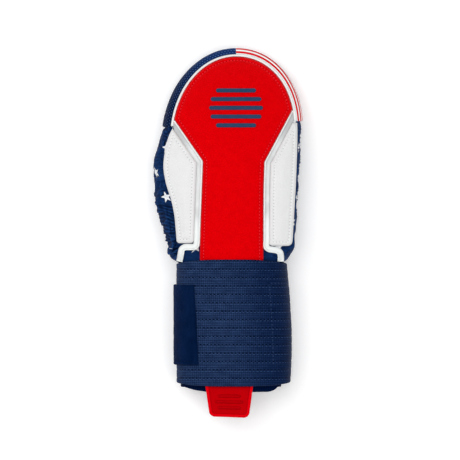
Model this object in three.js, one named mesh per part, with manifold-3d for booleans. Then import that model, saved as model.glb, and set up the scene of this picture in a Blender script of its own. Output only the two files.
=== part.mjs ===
// A baseball sliding mitt for the right hand, lying on its palm side, with its wrist strap fastened.
// Millimetres. x runs across the hand, y from the wrist line towards the fingertips and z up through the
// back of the hand. While it is modelled, x = 0 is the middle of the wrist, y = 0 the strap's edge nearest
// the hand and z = 0 the palm side of the fabric sleeve. The last lines stand the mitt on the origin.
import * as THREE from "three";
import { mergeVertices } from "three/addons/utils/BufferGeometryUtils.js";
import Module from "manifold-3d";

const wasm = await Module();
wasm.setup();

// Fit between pieces
const seat = 0.5; // between pieces that are sewn or bonded to each other
const slip = 0.4; // between the wrist and the strap around it

// Fabric sleeve and cuff
const handLength = 164.4; // wrist line to the seam at the fingertips
const palmHalfWidth = 52; // half the sewn plate's width over the knuckles
const bodyHeight = 46; // palm side to back at the wrist line
const sleeveWall = 3;
const cuffShow = 4.6; // cuff below the strap
const cuffCorner = 4; // how far the cuff's edge rises at its two sides
const cuffCurve = { left: 4, right: 12 }; // the higher, the squarer the cuff's corner
const cuffFrom = 0.93; // share of wristLength from which the cuff's edge rises

// Head of the sleeve's plate, an arch on each side of the fingertip seam
const headMiddle = 3.2;
const headJoin = handLength * 0.6387; // above this the arches are the outline
const leftArch = { centre: handLength * 0.5815, half: 52.8, power: 2 };
const rightArch = { centre: handLength * 0.6302, half: 48.6, power: 2.12 };

// Padded panels
const panelThickness = 4.2; // red panel on the back
const panelInset = 2.1; // its head inside the sleeve's seam
const panelStripLeft = 25.6; // red strip at the wrist line, from the middle
const panelStripRight = 25;
const wingThickness = 3.4; // white panels beside it
const palmThickness = 5;
const palmMargin = 3; // palm pad inside the sleeve's seam
const palmEnd = 5.6; // palm pad's end above the wrist line
const palmFlat = 0.6; // share of the palm pad's half width that lies flat

// Moulded rails between the red and white panels
const railWidth = 4.4;
const railHeight = 2.6;
const railGroove = 0.7;

// Piping and fingertip guard
const pipingRadius = 0.65;
const guardThickness = 1.8;
const pipingEnd = { left: handLength * 0.646, right: handLength * 0.6722 };
const guardEnd = { left: handLength * 0.6417, right: handLength * 0.6722 };
const guardTurn = 0.94; // share of the way from the middle of the side wall to its seams

// Wrist strap, hook tab and pull tab
const strapWidth = 101.2;
const strapThickness = 2;
const strapLeft = 42.4; // inside of the strap, from the middle
const strapRight = 41.2;
const strapFlare = 4; // extra room at the strap's lower right
const strapSag = 3.2; // how far the strap's edge near the hand drops at its sides
const strapRise = 2.6; // how far its lower edge rises at its sides
const tabWidth = 64;
const tabDrop = 20; // hook tab's upper edge below the strap's
const tabThickness = 1.9;
const pullTop = 38; // pull tab's width where it leaves the strap
const pullEnd = 32.4;
const pullShow = 24.4;
const pullHidden = 14;
const pullThickness = 2.4;
const pullShift = -2.2; // its middle, from the middle of the wrist
const pullCorner = 4;

// What the strap hides
const tailGap = 7; // from the end of the red panel to the pull tab
const panelTail = strapWidth - pullHidden - tailGap;
const cuffSeam = strapWidth * 0.69; // wrist line to the seam where the cuff joins the sleeve

// Raised ribs: one group on the red panel, one on the pull tab
const ribThickness = 1.5;
const ribHeight = 3.4;
const ribPitch = 7;
const ribLongest = 43;
const ribMiddle = { x: 3.2, y: handLength * 0.736 };
const pullRibPitch = 4.6;
const pullRibHeight = 1.7;
const pullRibRaise = 0.7;

const wristLength = strapWidth + cuffShow;

// Tables run along the mitt: "at" is a share of wristLength below the wrist line and of handLength
// above it.

// The sleeve's plan below its head: shares of palmHalfWidth from the middle to the plate's two seams.
const SIDES = [
  { at: -1, left: 0.735, right: 0.705 },
  { at: -0.3, left: 0.735, right: 0.705 },
  { at: -0.1, left: 0.74, right: 0.71 },
  { at: -0.03, left: 0.73, right: 0.706 },
  { at: 0.012, left: 0.86, right: 0.81 },
  { at: 0.034, left: 0.91, right: 0.865 },
  { at: 0.065, left: 0.905, right: 0.938 },
  { at: 0.12, left: 0.93, right: 0.952 },
  { at: 0.19, left: 0.962, right: 0.966 },
  { at: 0.265, left: 1.02, right: 0.978 },
  { at: 0.33, left: 1.066, right: 0.988 },
  { at: 0.4, left: 1.088, right: 0.996 },
  { at: 0.47, left: 1.09, right: 1.004 },
  { at: 0.54, left: 1.06, right: 1.008 },
  { at: 0.6, left: 1.017, right: 1.004 },
];

// How far the side walls swell out past the seams: shares of palmHalfWidth. The thumb fills the left one.
const BULGES = [
  { at: -1, left: 0.055, right: 0.055 },
  { at: -0.1, left: 0.055, right: 0.055 },
  { at: -0.03, left: 0.042, right: 0.042 },
  { at: 0.012, left: 0.065, right: 0.045 },
  { at: 0.034, left: 0.08, right: 0.035 },
  { at: 0.065, left: 0.075, right: 0.03 },
  { at: 0.12, left: 0.085, right: 0.025 },
  { at: 0.19, left: 0.115, right: 0.025 },
  { at: 0.265, left: 0.145, right: 0.025 },
  { at: 0.33, left: 0.118, right: 0.028 },
  { at: 0.4, left: 0.108, right: 0.032 },
  { at: 0.47, left: 0.112, right: 0.036 },
  { at: 0.54, left: 0.092, right: 0.038 },
  { at: 0.6, left: 0.084, right: 0.042 },
  { at: 0.66, left: 0.088, right: 0.056 },
  { at: 1, left: 0.056, right: 0.056 },
];

// The sleeve's side view: shares of bodyHeight up to its back and its palm side.
const PROFILE = [
  { at: -1, back: 0.945, palm: 0 },
  { at: -0.5, back: 0.99, palm: 0 },
  { at: 0, back: 1, palm: 0 },
  { at: 0.25, back: 0.978, palm: 0 },
  { at: 0.45, back: 0.924, palm: 0 },
  { at: 0.63, back: 0.826, palm: 0 },
  { at: 0.72, back: 0.765, palm: 0.008 },
  { at: 0.8, back: 0.69, palm: 0.045 },
  { at: 0.9, back: 0.576, palm: 0.125 },
  { at: 1, back: 0.43, palm: 0.225 },
];
const crownShare = 0.16; // of the sleeve's height, from a seam up to the crown of the back
const crownPower = 2.4;
const palmCurl = 4;

// The red panel's left and right edges below its head, as shares of its strip's two half widths.
const WAIST = [
  { at: -0.85, left: 1, right: 1 },
  { at: 0, left: 1, right: 1 },
  { at: 0.12, left: 0.982, right: 0.992 },
  { at: 0.33, left: 0.932, right: 1 },
  { at: 0.462, left: 0.9, right: 1.024 },
];
const waistTop = { left: 0.478, right: 0.473 }; // where the strip opens out, as a share of handLength
const shoulder = { left: 0.68, right: 0.73 }; // where the panel's head begins

// The white panels' outer edges: share of palmHalfWidth.
const WINGS = [
  { at: 0.05, left: 0.83, right: 0.86 },
  { at: 0.075, left: 0.845, right: 0.915 },
  { at: 0.1, left: 0.852, right: 0.93 },
  { at: 0.16, left: 0.868, right: 0.942 },
  { at: 0.22, left: 0.888, right: 0.954 },
  { at: 0.29, left: 0.935, right: 0.966 },
  { at: 0.35, left: 0.997, right: 0.978 },
  { at: 0.41, left: 1.04, right: 0.986 },
  { at: 0.46, left: 1.053, right: 0.992 },
  { at: 0.52, left: 1.032, right: 1 },
  { at: 0.575, left: 0.995, right: 1.004 },
  { at: 0.615, left: 0.95, right: 1.005 },
  { at: 0.66, left: 0.87, right: 1.003 },
];
const wingRows = {
  left: { bottom: 0.079, top: 0.641 },
  right: { bottom: 0.066, top: 0.664 },
};

// Where each rail leaves the red panel and steps outwards to the strap: x is a share of palmHalfWidth.
const RAIL_STEPS = {
  left: [
    { x: 0.553, at: 0.066 },
    { x: 0.6, at: 0.0605 },
    { x: 0.72, at: 0.0595 },
    { x: 0.766, at: 0.05 },
    { x: 0.784, at: 0.026 },
    { x: 0.806, at: -0.016 },
  ],
  right: [
    { x: 0.528, at: 0.062 },
    { x: 0.563, at: 0.0515 },
    { x: 0.68, at: 0.0445 },
    { x: 0.732, at: 0.035 },
    { x: 0.748, at: 0.016 },
    { x: 0.748, at: -0.016 },
  ],
};
const railTop = { left: 0.664, right: 0.712 };

// The strap's and hook tab's ends, in turns around the wrist: 0 is its right side, 0.25 the back and
// 0.5 its left.
const strapStart = 0.84;
const strapStop = -0.34;
const strapClimb = { from: 0.02, to: -0.17 }; // where the second layer climbs on to the first
const tabStop = { top: -0.636, bottom: -0.6485 };
const wrapPower = { back: 3.2, palm: 5 };

const red = 0xd80008;
const white = 0xeaeaea;
const navy = 0x13264f;

const clamp = THREE.MathUtils.clamp;
const lerp = THREE.MathUtils.lerp;
const share = (y) => (y < 0 ? y / wristLength : y / handLength);
const along = (at) => (at < 0 ? at * wristLength : at * handLength);
const steps = (n) => Array.from({ length: n + 1 }, (_, i) => i / n);

// A smooth curve through one column of a table, by its "at" column.
function smooth(table, column) {
  const n = table.length - 1;
  const slope = (i) => {
    const a = table[Math.max(i - 1, 0)];
    const b = table[Math.min(i + 1, n)];
    return (b[column] - a[column]) / (b.at - a.at);
  };
  return (at) => {
    if (at <= table[0].at) return table[0][column];
    if (at >= table[n].at) return table[n][column];
    const i = table.findIndex((row) => row.at > at) - 1;
    const span = table[i + 1].at - table[i].at;
    const t = (at - table[i].at) / span;
    const from = table[i][column];
    const rise = table[i + 1][column] - from;
    const bendIn = slope(i) * span - rise;
    const bendOut = rise - slope(i + 1) * span;
    return from + t * rise + t * (1 - t) * ((1 - t) * bendIn + t * bendOut);
  };
}

// Collects points and faces of one closed solid, and drops the faces that close up to nothing.
class Skin {
  points = [];
  faces = [];
  row(points) {
    return points.map((p) => this.points.push(p) - 1);
  }
  strip(a, b) {
    for (let i = 0; i + 1 < a.length; i++) {
      this.faces.push([a[i], a[i + 1], b[i + 1]], [a[i], b[i + 1], b[i]]);
    }
  }
  ring(a, b) {
    this.strip([...a, a[0]], [...b, b[0]]);
  }
  cap(loop) {
    for (let i = 1; i + 1 < loop.length; i++) {
      this.faces.push([loop[0], loop[i], loop[i + 1]]);
    }
  }
  geometry() {
    const raw = new THREE.BufferGeometry().setFromPoints(this.points);
    raw.setIndex(this.faces.flat());
    const merged = mergeVertices(raw, 1e-3);
    const index = Array.from(merged.index.array);
    const kept = [];
    for (let i = 0; i < index.length; i += 3) {
      const [a, b, c] = index.slice(i, i + 3);
      if (a !== b && b !== c && c !== a) kept.push(a, b, c);
    }
    merged.setIndex(kept);
    merged.computeVertexNormals();
    return merged;
  }
}

// The sides run on into the arches where the head begins.
const headStart = {
  at: share(headJoin),
  left: (archAt(headJoin, leftArch, 0) - headMiddle) / palmHalfWidth,
  right: (archAt(headJoin, rightArch, 0) + headMiddle) / palmHalfWidth,
};
const sideLeft = smooth([...SIDES, headStart], "left");
const sideRight = smooth([...SIDES, headStart], "right");
const bulgeLeft = smooth(BULGES, "left");
const bulgeRight = smooth(BULGES, "right");
const backShare = smooth(PROFILE, "back");
const palmShare = smooth(PROFILE, "palm");

// Half width of one arch of the head at y, drawn in by inset.
function archAt(y, arch, inset) {
  const reach = handLength - arch.centre - inset;
  const up = clamp((y - arch.centre) / reach, 0, 1);
  return (arch.half - inset) * (1 - up ** arch.power) ** (1 / arch.power);
}

// x of the plate's seam at y on one side, drawn in by inset: side is -1 for the left and 1 for the right.
function seamAt(y, side, inset = 0) {
  if (y > headJoin) return headMiddle + side * archAt(y, side < 0 ? leftArch : rightArch, inset);
  const wide = side < 0 ? sideLeft(share(y)) : sideRight(share(y));
  return side * (wide * palmHalfWidth - inset);
}

// Heights of the sleeve at y: its back, palm side and the seams between them and the side walls.
function levels(y, inset = 0) {
  const back = bodyHeight * backShare(share(y)) - inset;
  const palm = bodyHeight * palmShare(share(y)) + inset;
  const crown = crownShare * (back - palm);
  return { back, palm, crown, upper: back - crown, lower: palm + crown };
}

// -1 at the left seam, 1 at the right seam.
function across(x, y, inset = 0) {
  const left = seamAt(y, -1, inset);
  const right = seamAt(y, 1, inset);
  return clamp((2 * x - left - right) / Math.max(right - left, 1e-6), -1, 1);
}

// 1 over most of the plate, falling to 0 at the fingertip seam, where both crowns run out.
function fullness(y, inset) {
  return 1 - clamp((y - headJoin) / (handLength - inset - headJoin), 0, 1) ** 6;
}

function backAt(x, y, inset = 0) {
  const { upper, crown } = levels(y, inset);
  return upper + crown * (1 - Math.abs(across(x, y, inset)) ** crownPower) * fullness(y, inset);
}

function palmAt(x, y, inset = 0) {
  const { lower, crown } = levels(y, inset);
  return lower - crown * (1 - Math.abs(across(x, y, inset)) ** palmCurl) * fullness(y, inset);
}

// A point of the side wall at y, grown outwards by out: turn runs from 1 at the upper seam to -1 at the
// lower one.
function wallAt(y, side, turn, inset = 0, out = 0) {
  const { upper, lower } = levels(y, inset);
  const step = 0.05;
  const tip = y > handLength - inset - step;
  const bend = tip ? 0 : (seamAt(y + step, side, inset) - seamAt(y - step, side, inset)) / (2 * step);
  const normal = tip ? new THREE.Vector2(0, 1) : new THREE.Vector2(side, -side * bend).normalize();
  const bulge = palmHalfWidth * (side < 0 ? bulgeLeft : bulgeRight)(tip ? 1 : share(y)) + out;
  const angle = (turn * Math.PI) / 2;
  return new THREE.Vector3(
    seamAt(y, side, inset) + normal.x * bulge * Math.cos(angle),
    y + normal.y * bulge * Math.cos(angle),
    (upper + lower) / 2 + ((upper - lower) / 2 + out) * Math.sin(angle),
  );
}

const plateColumns = [0, 0.05, 0.125, 0.23, 0.36, 0.5, 0.64, 0.77, 0.875, 0.95, 1];
const wallSteps = 4;

// One ring of the sleeve: across the back, down the right wall, across the palm and up the left wall.
function sleeveRing(y, inset) {
  const left = seamAt(y, -1, inset);
  const right = seamAt(y, 1, inset);
  const lift = (x) => {
    const t = across(x, y, inset);
    const power = t < 0 ? cuffCurve.left : cuffCurve.right;
    return cuffCorner * Math.abs(t) ** power * clamp((-share(y) - cuffFrom) / (1 - cuffFrom), 0, 1);
  };
  const plate = (z) => (t) => {
    const x = lerp(left, right, t);
    return new THREE.Vector3(x, y + lift(x), z(x, y, inset));
  };
  const wall = (side) => (t) => {
    const p = wallAt(y, side, 1 - 2 * t, inset);
    p.y += lift(p.x);
    return p;
  };
  const inner = steps(wallSteps).slice(1, -1);
  return [
    ...plateColumns.map(plate(backAt)),
    ...inner.map(wall(1)),
    ...plateColumns.toReversed().map(plate(palmAt)),
    ...inner.toReversed().map(wall(-1)),
  ];
}

// y of the sleeve's rings above the wrist line, closer together round the fingertips.
function handRows(inset) {
  const straight = [0.012, 0.034, 0.065, 0.12, 0.19, 0.265, 0.33, 0.4, 0.47, 0.54, 0.6].map(along);
  const reach = handLength - inset - headJoin;
  const head = steps(10).map((t) => headJoin + reach * Math.sin((t * Math.PI) / 2));
  return [...straight, ...head];
}

// A hollow length of the mitt: rowsOf(inset) gives the y of its rings, from its lower end up.
function shell(rowsOf, openTop) {
  const skin = new Skin();
  const rings = (inset) => rowsOf(inset).map((y) => skin.row(sleeveRing(y, inset)));
  const outer = rings(0);
  const inner = rings(sleeveWall);
  for (let i = 0; i + 1 < outer.length; i++) {
    skin.ring(outer[i], outer[i + 1]);
    skin.ring(inner[i + 1], inner[i]);
  }
  skin.ring(inner[0], outer[0]);
  if (openTop) skin.ring(outer.at(-1), inner.at(-1));
  return skin.geometry();
}

// The star-print sleeve, open at the wrist and closed round the fingertips.
function sleeve() {
  const wrist = [-cuffSeam, ...[-0.3, -0.1, -0.03].map(along)];
  return shell((inset) => [...wrist, ...handRows(inset)], false);
}

// The plain cuff that carries on from the sleeve to the mouth.
function cuff() {
  const rows = [...[-1, -0.985, -0.955, -0.92, -0.8].map(along), -cuffSeam - seat];
  return shell(() => rows, true);
}

// A pad laid over a surface: rows from side to side, each from left(y) to right(y), between two
// height functions.
function pad(rows, left, right, columns, low, high) {
  const skin = new Skin();
  const line = (height) =>
    rows.map((y) =>
      skin.row(
        columns.map((t) => {
          const x = lerp(left(y), right(y), t);
          return new THREE.Vector3(x, y, height(x, y, t));
        }),
      ),
    );
  const bottom = line(low);
  const top = line(high);
  for (let i = 0; i + 1 < rows.length; i++) {
    skin.strip(top[i], top[i + 1]);
    skin.strip(bottom[i + 1], bottom[i]);
    skin.strip([bottom[i][0], top[i][0]], [bottom[i + 1][0], top[i + 1][0]]);
    skin.strip([top[i].at(-1), bottom[i].at(-1)], [top[i + 1].at(-1), bottom[i + 1].at(-1)]);
  }
  skin.strip(bottom[0], top[0]);
  skin.strip(top.at(-1), bottom.at(-1));
  return skin.geometry();
}

// Height of a padded edge: edgeShare of the thickness at the rim, all of it from edgeRound inwards.
const edgeShare = 0.55;
const edgeRound = 5;
const padded = (thickness, fromEdge) => {
  const t = clamp(fromEdge / edgeRound, 0, 1);
  return thickness * (edgeShare + (1 - edgeShare) * Math.sqrt(t * (2 - t)));
};

const waistLeft = smooth(WAIST, "left");
const waistRight = smooth(WAIST, "right");

// x of the red panel's edge at y: its head beside the sleeve's seam, a straight shoulder and the strip.
function panelEdge(y, side) {
  const name = side < 0 ? "left" : "right";
  const headFrom = along(shoulder[name]);
  const stripTo = along(waistTop[name]);
  const head = (at) => seamAt(at, side, panelInset);
  const strip = (at) =>
    side < 0 ? -panelStripLeft * waistLeft(share(at)) : panelStripRight * waistRight(share(at));
  if (y >= headFrom) return head(y);
  if (y <= stripTo) return strip(y);
  return lerp(strip(stripTo), head(headFrom), (y - stripTo) / (headFrom - stripTo));
}

const backSeat = (x, y) => backAt(x, y) + seat;

// The red panel's upper face.
function panelHigh(x, y) {
  const edges = [x - panelEdge(y, -1), panelEdge(y, 1) - x, handLength - panelInset - y, y + panelTail];
  return backSeat(x, y) + padded(panelThickness, Math.max(0, Math.min(...edges)));
}

const padColumns = [0, 0.03, 0.1, 0.22, 0.36, 0.5, 0.64, 0.78, 0.9, 0.97, 1];

function redPanel() {
  const from = along(shoulder.right);
  const reach = handLength - panelInset - from;
  const head = [0.2, 0.38, 0.54, 0.68, 0.8, 0.89, 0.95, 0.985].map((t) => from + reach * t);
  const rows = [
    ...[1, 0.95, 0.7, 0.4, 0.03].map((t) => -panelTail * t),
    ...[0, 0.12, 0.26, 0.4, waistTop.right, waistTop.left].map(along),
    ...[0.54, 0.6, shoulder.left, shoulder.right].map(along),
    ...head,
  ].filter((y, i, all) => i === 0 || y - all[i - 1] > 0.5);
  return pad(rows, (y) => panelEdge(y, -1), (y) => panelEdge(y, 1), padColumns, backSeat, panelHigh);
}

// Middle line of a rail: beside the red panel's edge, then out to the strap.
function railLine(side) {
  const name = side < 0 ? "left" : "right";
  const beside = (y) => {
    const step = 0.5;
    const bend = (panelEdge(y + step, side) - panelEdge(y - step, side)) / (2 * step);
    const normal = new THREE.Vector2(side, -side * bend).normalize();
    const off = seat + railWidth / 2;
    return new THREE.Vector3(panelEdge(y, side) + normal.x * off, y + normal.y * off, 0);
  };
  const upper = along(railTop[name]);
  const waist = along(waistTop[name]);
  const ys = [
    ...steps(6).map((t) => lerp(upper, waist + 3, t)),
    ...[2, 1, 0, -1, -2.5].map((d) => waist + d),
    ...steps(8).map((t) => lerp(waist - 6, along(0.1), t)),
  ];
  const outwards = RAIL_STEPS[name].map(
    (p) => new THREE.Vector3(side * p.x * palmHalfWidth, along(p.at), 0),
  );
  return new THREE.CatmullRomCurve3([...ys.map(beside), ...outwards], false, "centripetal");
}

// A bar swept along a line drawn on the sleeve's back, with a closed section of [sideways, up] points.
function barOnBack(points, sectionAt) {
  const skin = new Skin();
  const rings = points.map((p, i) => {
    const before = points[Math.max(i - 1, 0)];
    const after = points[Math.min(i + 1, points.length - 1)];
    const run = new THREE.Vector2(after.x - before.x, after.y - before.y).normalize();
    const section = sectionAt(i / (points.length - 1));
    return skin.row(
      section.map(([side, up]) => {
        const x = p.x + run.y * side;
        const y = p.y - run.x * side;
        return new THREE.Vector3(x, y, backSeat(x, y) + up);
      }),
    );
  });
  for (let i = 0; i + 1 < rings.length; i++) skin.ring(rings[i], rings[i + 1]);
  skin.cap(rings[0].toReversed());
  skin.cap(rings.at(-1));
  return skin.geometry();
}

// The rail's section: a flat foot, rounded lips and a shallow groove between them.
function railSection(width, height, groove) {
  const w = width / 2;
  return [
    [-w, 0],
    [-w, height * 0.65],
    [-w * 0.8, height],
    [-w * 0.45, height],
    [0, height - groove],
    [w * 0.45, height],
    [w * 0.8, height],
    [w, height * 0.65],
    [w, 0],
  ];
}

// Its outer half runs out towards its upper end, where it meets the piping.
function rail(side) {
  const points = railLine(side).getSpacedPoints(42);
  const taper = (t) => clamp(t / 0.05, 0.25, 1) * clamp((1 - t) / 0.05, 0.5, 1);
  return barOnBack(points, (t) => {
    const outer = clamp(t / 0.07, 0.12, 1);
    const section = railSection(railWidth, railHeight * taper(t), railGroove * taper(t));
    return section.map(([s, up]) => [s * side < 0 ? s * outer : s, up]);
  });
}

// The outer side of a rail, as x at y, which the white panel's inner edge follows.
function railOuter(side) {
  const points = railLine(side).getSpacedPoints(200);
  const rows = [];
  for (let i = 1; i + 1 < points.length; i++) {
    const run = points[i + 1].clone().sub(points[i - 1]).normalize();
    const out = railWidth / 2 + seat;
    rows.push({ x: points[i].x - side * run.y * out, y: points[i].y + side * run.x * out });
  }
  return (y) => {
    const i = clamp(rows.findIndex((row) => row.y < y), 1, rows.length - 1);
    const t = clamp((rows[i - 1].y - y) / Math.max(rows[i - 1].y - rows[i].y, 1e-6), 0, 1);
    return lerp(rows[i - 1].x, rows[i].x, t);
  };
}

// A white panel between a rail and the sleeve's side.
function wing(side) {
  const name = side < 0 ? "left" : "right";
  const outerShare = smooth(WINGS, name);
  const inner = railOuter(side);
  const outer = (y) => side * outerShare(share(y)) * palmHalfWidth;
  const bottom = along(wingRows[name].bottom);
  const top = along(wingRows[name].top);
  const waist = along(waistTop[name]);
  const span = (from, to, count) => steps(count).map((t) => lerp(from, to, t));
  const rows = [...span(bottom, waist - 1.5, 10), waist, ...span(waist + 1.5, top, 6)];
  const left = side < 0 ? outer : inner;
  const right = side < 0 ? inner : outer;
  const high = (x, y) => {
    const edges = [x - left(y), right(y) - x, top - y, y - bottom];
    return backSeat(x, y) + padded(wingThickness, Math.max(0, Math.min(...edges)));
  };
  return pad(rows, left, right, [0, 0.08, 0.2, 0.5, 0.8, 0.92, 1], backSeat, high);
}

// The pad under the palm, flat where the mitt rests.
function palmPad() {
  const left = (y) => seamAt(y, -1, palmMargin);
  const right = (y) => seamAt(y, 1, palmMargin);
  const reach = handLength - palmMargin - headJoin;
  const head = steps(8).map((t) => headJoin + reach * Math.sin(t * Math.PI * 0.47));
  const rows = [palmEnd, ...[0.065, 0.12, 0.19, 0.265, 0.33, 0.4, 0.47, 0.54, 0.6].map(along), ...head];
  const high = (x, y) => palmAt(x, y) - seat;
  const low = (x, y) => {
    const t = Math.abs(across(x, y));
    const curl = clamp((t - palmFlat) / (1 - palmFlat), 0, 1) ** palmCurl;
    const { palm, crown } = levels(y);
    const thick = palmThickness * lerp(1, edgeShare, curl);
    return palm - seat - thick + crown * curl * 0.9;
  };
  return pad(rows, left, right, [0, 0.06, 0.14, 0.22, 0.36, 0.5, 0.64, 0.78, 0.86, 0.94, 1], low, high);
}

// A stretch of the line along the plate's seam, from the fingertips down one side.
function seamLine(side, bottom, drawnIn, count) {
  const top = handLength - drawnIn;
  return steps(count).map((t) => {
    const y = lerp(bottom, top, Math.sin((t * Math.PI) / 2));
    return new THREE.Vector3(seamAt(y, side, drawnIn), y, 0);
  });
}

const pipingInset = pipingRadius + seat / 2;

function piping() {
  const left = seamLine(-1, pipingEnd.left, pipingInset, 18);
  const right = seamLine(1, pipingEnd.right, pipingInset, 18).toReversed().slice(1);
  const sides = 8;
  const section = steps(sides)
    .slice(0, sides)
    .map((t) => [
      -pipingRadius * Math.cos(t * 2 * Math.PI),
      pipingRadius * (1 + Math.sin(t * 2 * Math.PI)),
    ]);
  return barOnBack([...left, ...right], () => section);
}

// Half of the fingertip guard, a channel round the sleeve's side wall from one seam to the other.
function guard(side) {
  const skin = new Skin();
  const bottom = side < 0 ? guardEnd.left : guardEnd.right;
  const rows = [bottom, ...handRows(0).filter((y) => y > bottom + 1)];
  const turns = steps(8).map((t) => lerp(guardTurn, -guardTurn, t));
  const ring = (y, i) => {
    const part = (out) => (turn) => {
      const p = wallAt(y, side, turn, 0, out);
      if (i === rows.length - 1) p.x += (side * seat) / 2;
      return p;
    };
    return skin.row([
      ...turns.map(part(seat)),
      ...turns.toReversed().map(part(seat + guardThickness)),
    ]);
  };
  const rings = rows.map(ring);
  for (let i = 0; i + 1 < rings.length; i++) {
    if (side < 0) skin.ring(rings[i], rings[i + 1]);
    else skin.ring(rings[i + 1], rings[i]);
  }
  const half = rings[0].length / 2;
  const end = (r, flip) => {
    const inner = r.slice(0, half);
    const outer = r.slice(half).toReversed();
    if (flip) skin.strip(inner, outer);
    else skin.strip(outer, inner);
  };
  end(rings[0], side > 0);
  end(rings.at(-1), side < 0);
  return skin.geometry();
}

// The room that the strap wraps round at y: its half widths from the middle, its top and its bottom.
const strapStack = strapThickness + seat; // one layer of the strap and the gap to the next
const wrapDrop = Math.max(slip, palmThickness + seat - strapStack - strapThickness);

function wrapAt(y) {
  const down = clamp(-y / strapWidth, 0, 1);
  const left = -strapLeft;
  const right = strapRight + strapFlare * Math.sin(down * 2.3);
  const top = levels(y).back + seat + panelThickness + slip;
  return { left, right, top, bottom: levels(y).palm - wrapDrop };
}

// A point round the wrist at an angle, with the section's size at y and grown outwards by out.
function wrapPoint(angle, y, out) {
  const { left, right, top, bottom } = wrapAt(y);
  const c = Math.cos(angle);
  const s = Math.sin(angle);
  const power = s > 0 ? wrapPower.back : wrapPower.palm;
  const curve = (v) => Math.sign(v) * Math.abs(v) ** (2 / power);
  return new THREE.Vector3(
    (left + right) / 2 + ((right - left) / 2 + out) * curve(c),
    y,
    (top + bottom) / 2 + ((top - bottom) / 2 + out) * curve(s),
  );
}

// Angles that stand an equal way apart round the wrist, so that a turn can be counted in shares of it.
const turnAngles = (() => {
  const samples = 2000;
  const lengths = [0];
  let last = wrapPoint(0, -strapWidth / 2, 0);
  for (let i = 1; i <= samples; i++) {
    const next = wrapPoint((i / samples) * 2 * Math.PI, -strapWidth / 2, 0);
    lengths.push(lengths[i - 1] + next.distanceTo(last));
    last = next;
  }
  return lengths.map((length) => length / lengths[samples]);
})();

function turnAngle(turn) {
  const whole = Math.floor(turn);
  const part = turn - whole;
  const i = clamp(turnAngles.findIndex((f) => f > part), 1, turnAngles.length - 1);
  const t = (part - turnAngles[i - 1]) / (turnAngles[i] - turnAngles[i - 1]);
  return (whole + (i - 1 + t) / (turnAngles.length - 1)) * 2 * Math.PI;
}

const turnSteps = 56; // in one whole turn

// Turns from start down to stop, through the same stations on each layer.
function turnRows(start, stop) {
  const inner = [];
  for (let k = Math.ceil(start * turnSteps) - 1; k / turnSteps > stop; k--) {
    const turn = k / turnSteps;
    if (start - turn > 0.3 / turnSteps && turn - stop > 0.3 / turnSteps) inner.push(turn);
  }
  return [start, ...inner, stop];
}

// A band round the wrist: turns holds a function for each row, from a share of the band's width to a
// turn, edge(angle) gives its upper and lower y, and climb(turn) how far out it lies.
function band(turns, edge, climb, thickness) {
  const skin = new Skin();
  const rows = turns.map((turnAt) => {
    const line = (out) =>
      steps(3).map((t) => {
        const turn = turnAt(t);
        const angle = turnAngle(turn);
        const { upper, lower } = edge(angle);
        return wrapPoint(angle, lerp(upper, lower, t), climb(turn) + out);
      });
    return { inner: skin.row(line(0)), outer: skin.row(line(thickness)) };
  });
  for (let i = 0; i + 1 < rows.length; i++) {
    const [a, b] = [rows[i], rows[i + 1]];
    skin.strip(a.outer, b.outer);
    skin.strip(b.inner, a.inner);
    skin.strip([a.inner[0], a.outer[0]], [b.inner[0], b.outer[0]]);
    skin.strip([b.inner.at(-1), b.outer.at(-1)], [a.inner.at(-1), a.outer.at(-1)]);
  }
  skin.strip(rows[0].inner, rows[0].outer);
  skin.strip(rows.at(-1).outer, rows.at(-1).inner);
  return skin.geometry();
}

function strapEdge(angle) {
  const side = Math.cos(angle) ** 2;
  return { upper: -strapSag * side, lower: -strapWidth + strapRise * side };
}

function strapOut(turn) {
  const t = clamp((strapClimb.from - turn) / (strapClimb.from - strapClimb.to), 0, 1);
  return strapStack * t * t * (3 - 2 * t);
}

function strap() {
  const turns = turnRows(strapStart, strapStop).map((turn) => () => turn);
  return band(turns, strapEdge, strapOut, strapThickness);
}

// The hook tab carries on from the strap's outer end, round the left side and on to the back.
function hookTab() {
  const start = strapStop - 0.004;
  const stop = (t) => lerp(tabStop.top, tabStop.bottom, t);
  const rows = turnRows(start, tabStop.top);
  const turns = rows.map((turn, i) => (i === rows.length - 1 ? stop : () => turn));
  const edge = () => ({ upper: -tabDrop, lower: -tabDrop - tabWidth });
  return band(turns, edge, () => strapStack, tabThickness);
}

function solidOf(geometry) {
  const bare = geometry.index ? geometry.toNonIndexed() : geometry.clone();
  for (const name of Object.keys(bare.attributes)) if (name !== "position") bare.deleteAttribute(name);
  const merged = mergeVertices(bare, 1e-4);
  return new wasm.Manifold(
    new wasm.Mesh({
      numProp: 3,
      vertProperties: merged.attributes.position.array,
      triVerts: new Uint32Array(merged.index.array),
    }),
  );
}

function geometryOf(solid) {
  const mesh = solid.getMesh();
  const geometry = new THREE.BufferGeometry();
  geometry.setAttribute("position", new THREE.BufferAttribute(new Float32Array(mesh.vertProperties), 3));
  geometry.setIndex(Array.from(mesh.triVerts));
  geometry.computeVertexNormals();
  return geometry;
}

// A bar with round ends, lying along x on z = 0.
function roundBar(length, height, depth) {
  const r = height / 2;
  const shape = new THREE.Shape();
  shape.moveTo(-length / 2 + r, -r);
  shape.lineTo(length / 2 - r, -r);
  shape.absarc(length / 2 - r, 0, r, -Math.PI / 2, Math.PI / 2);
  shape.lineTo(-length / 2 + r, r);
  shape.absarc(-length / 2 + r, 0, r, Math.PI / 2, (3 * Math.PI) / 2);
  return new THREE.ExtrudeGeometry(shape, { depth, bevelEnabled: false, curveSegments: 5 });
}

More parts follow.
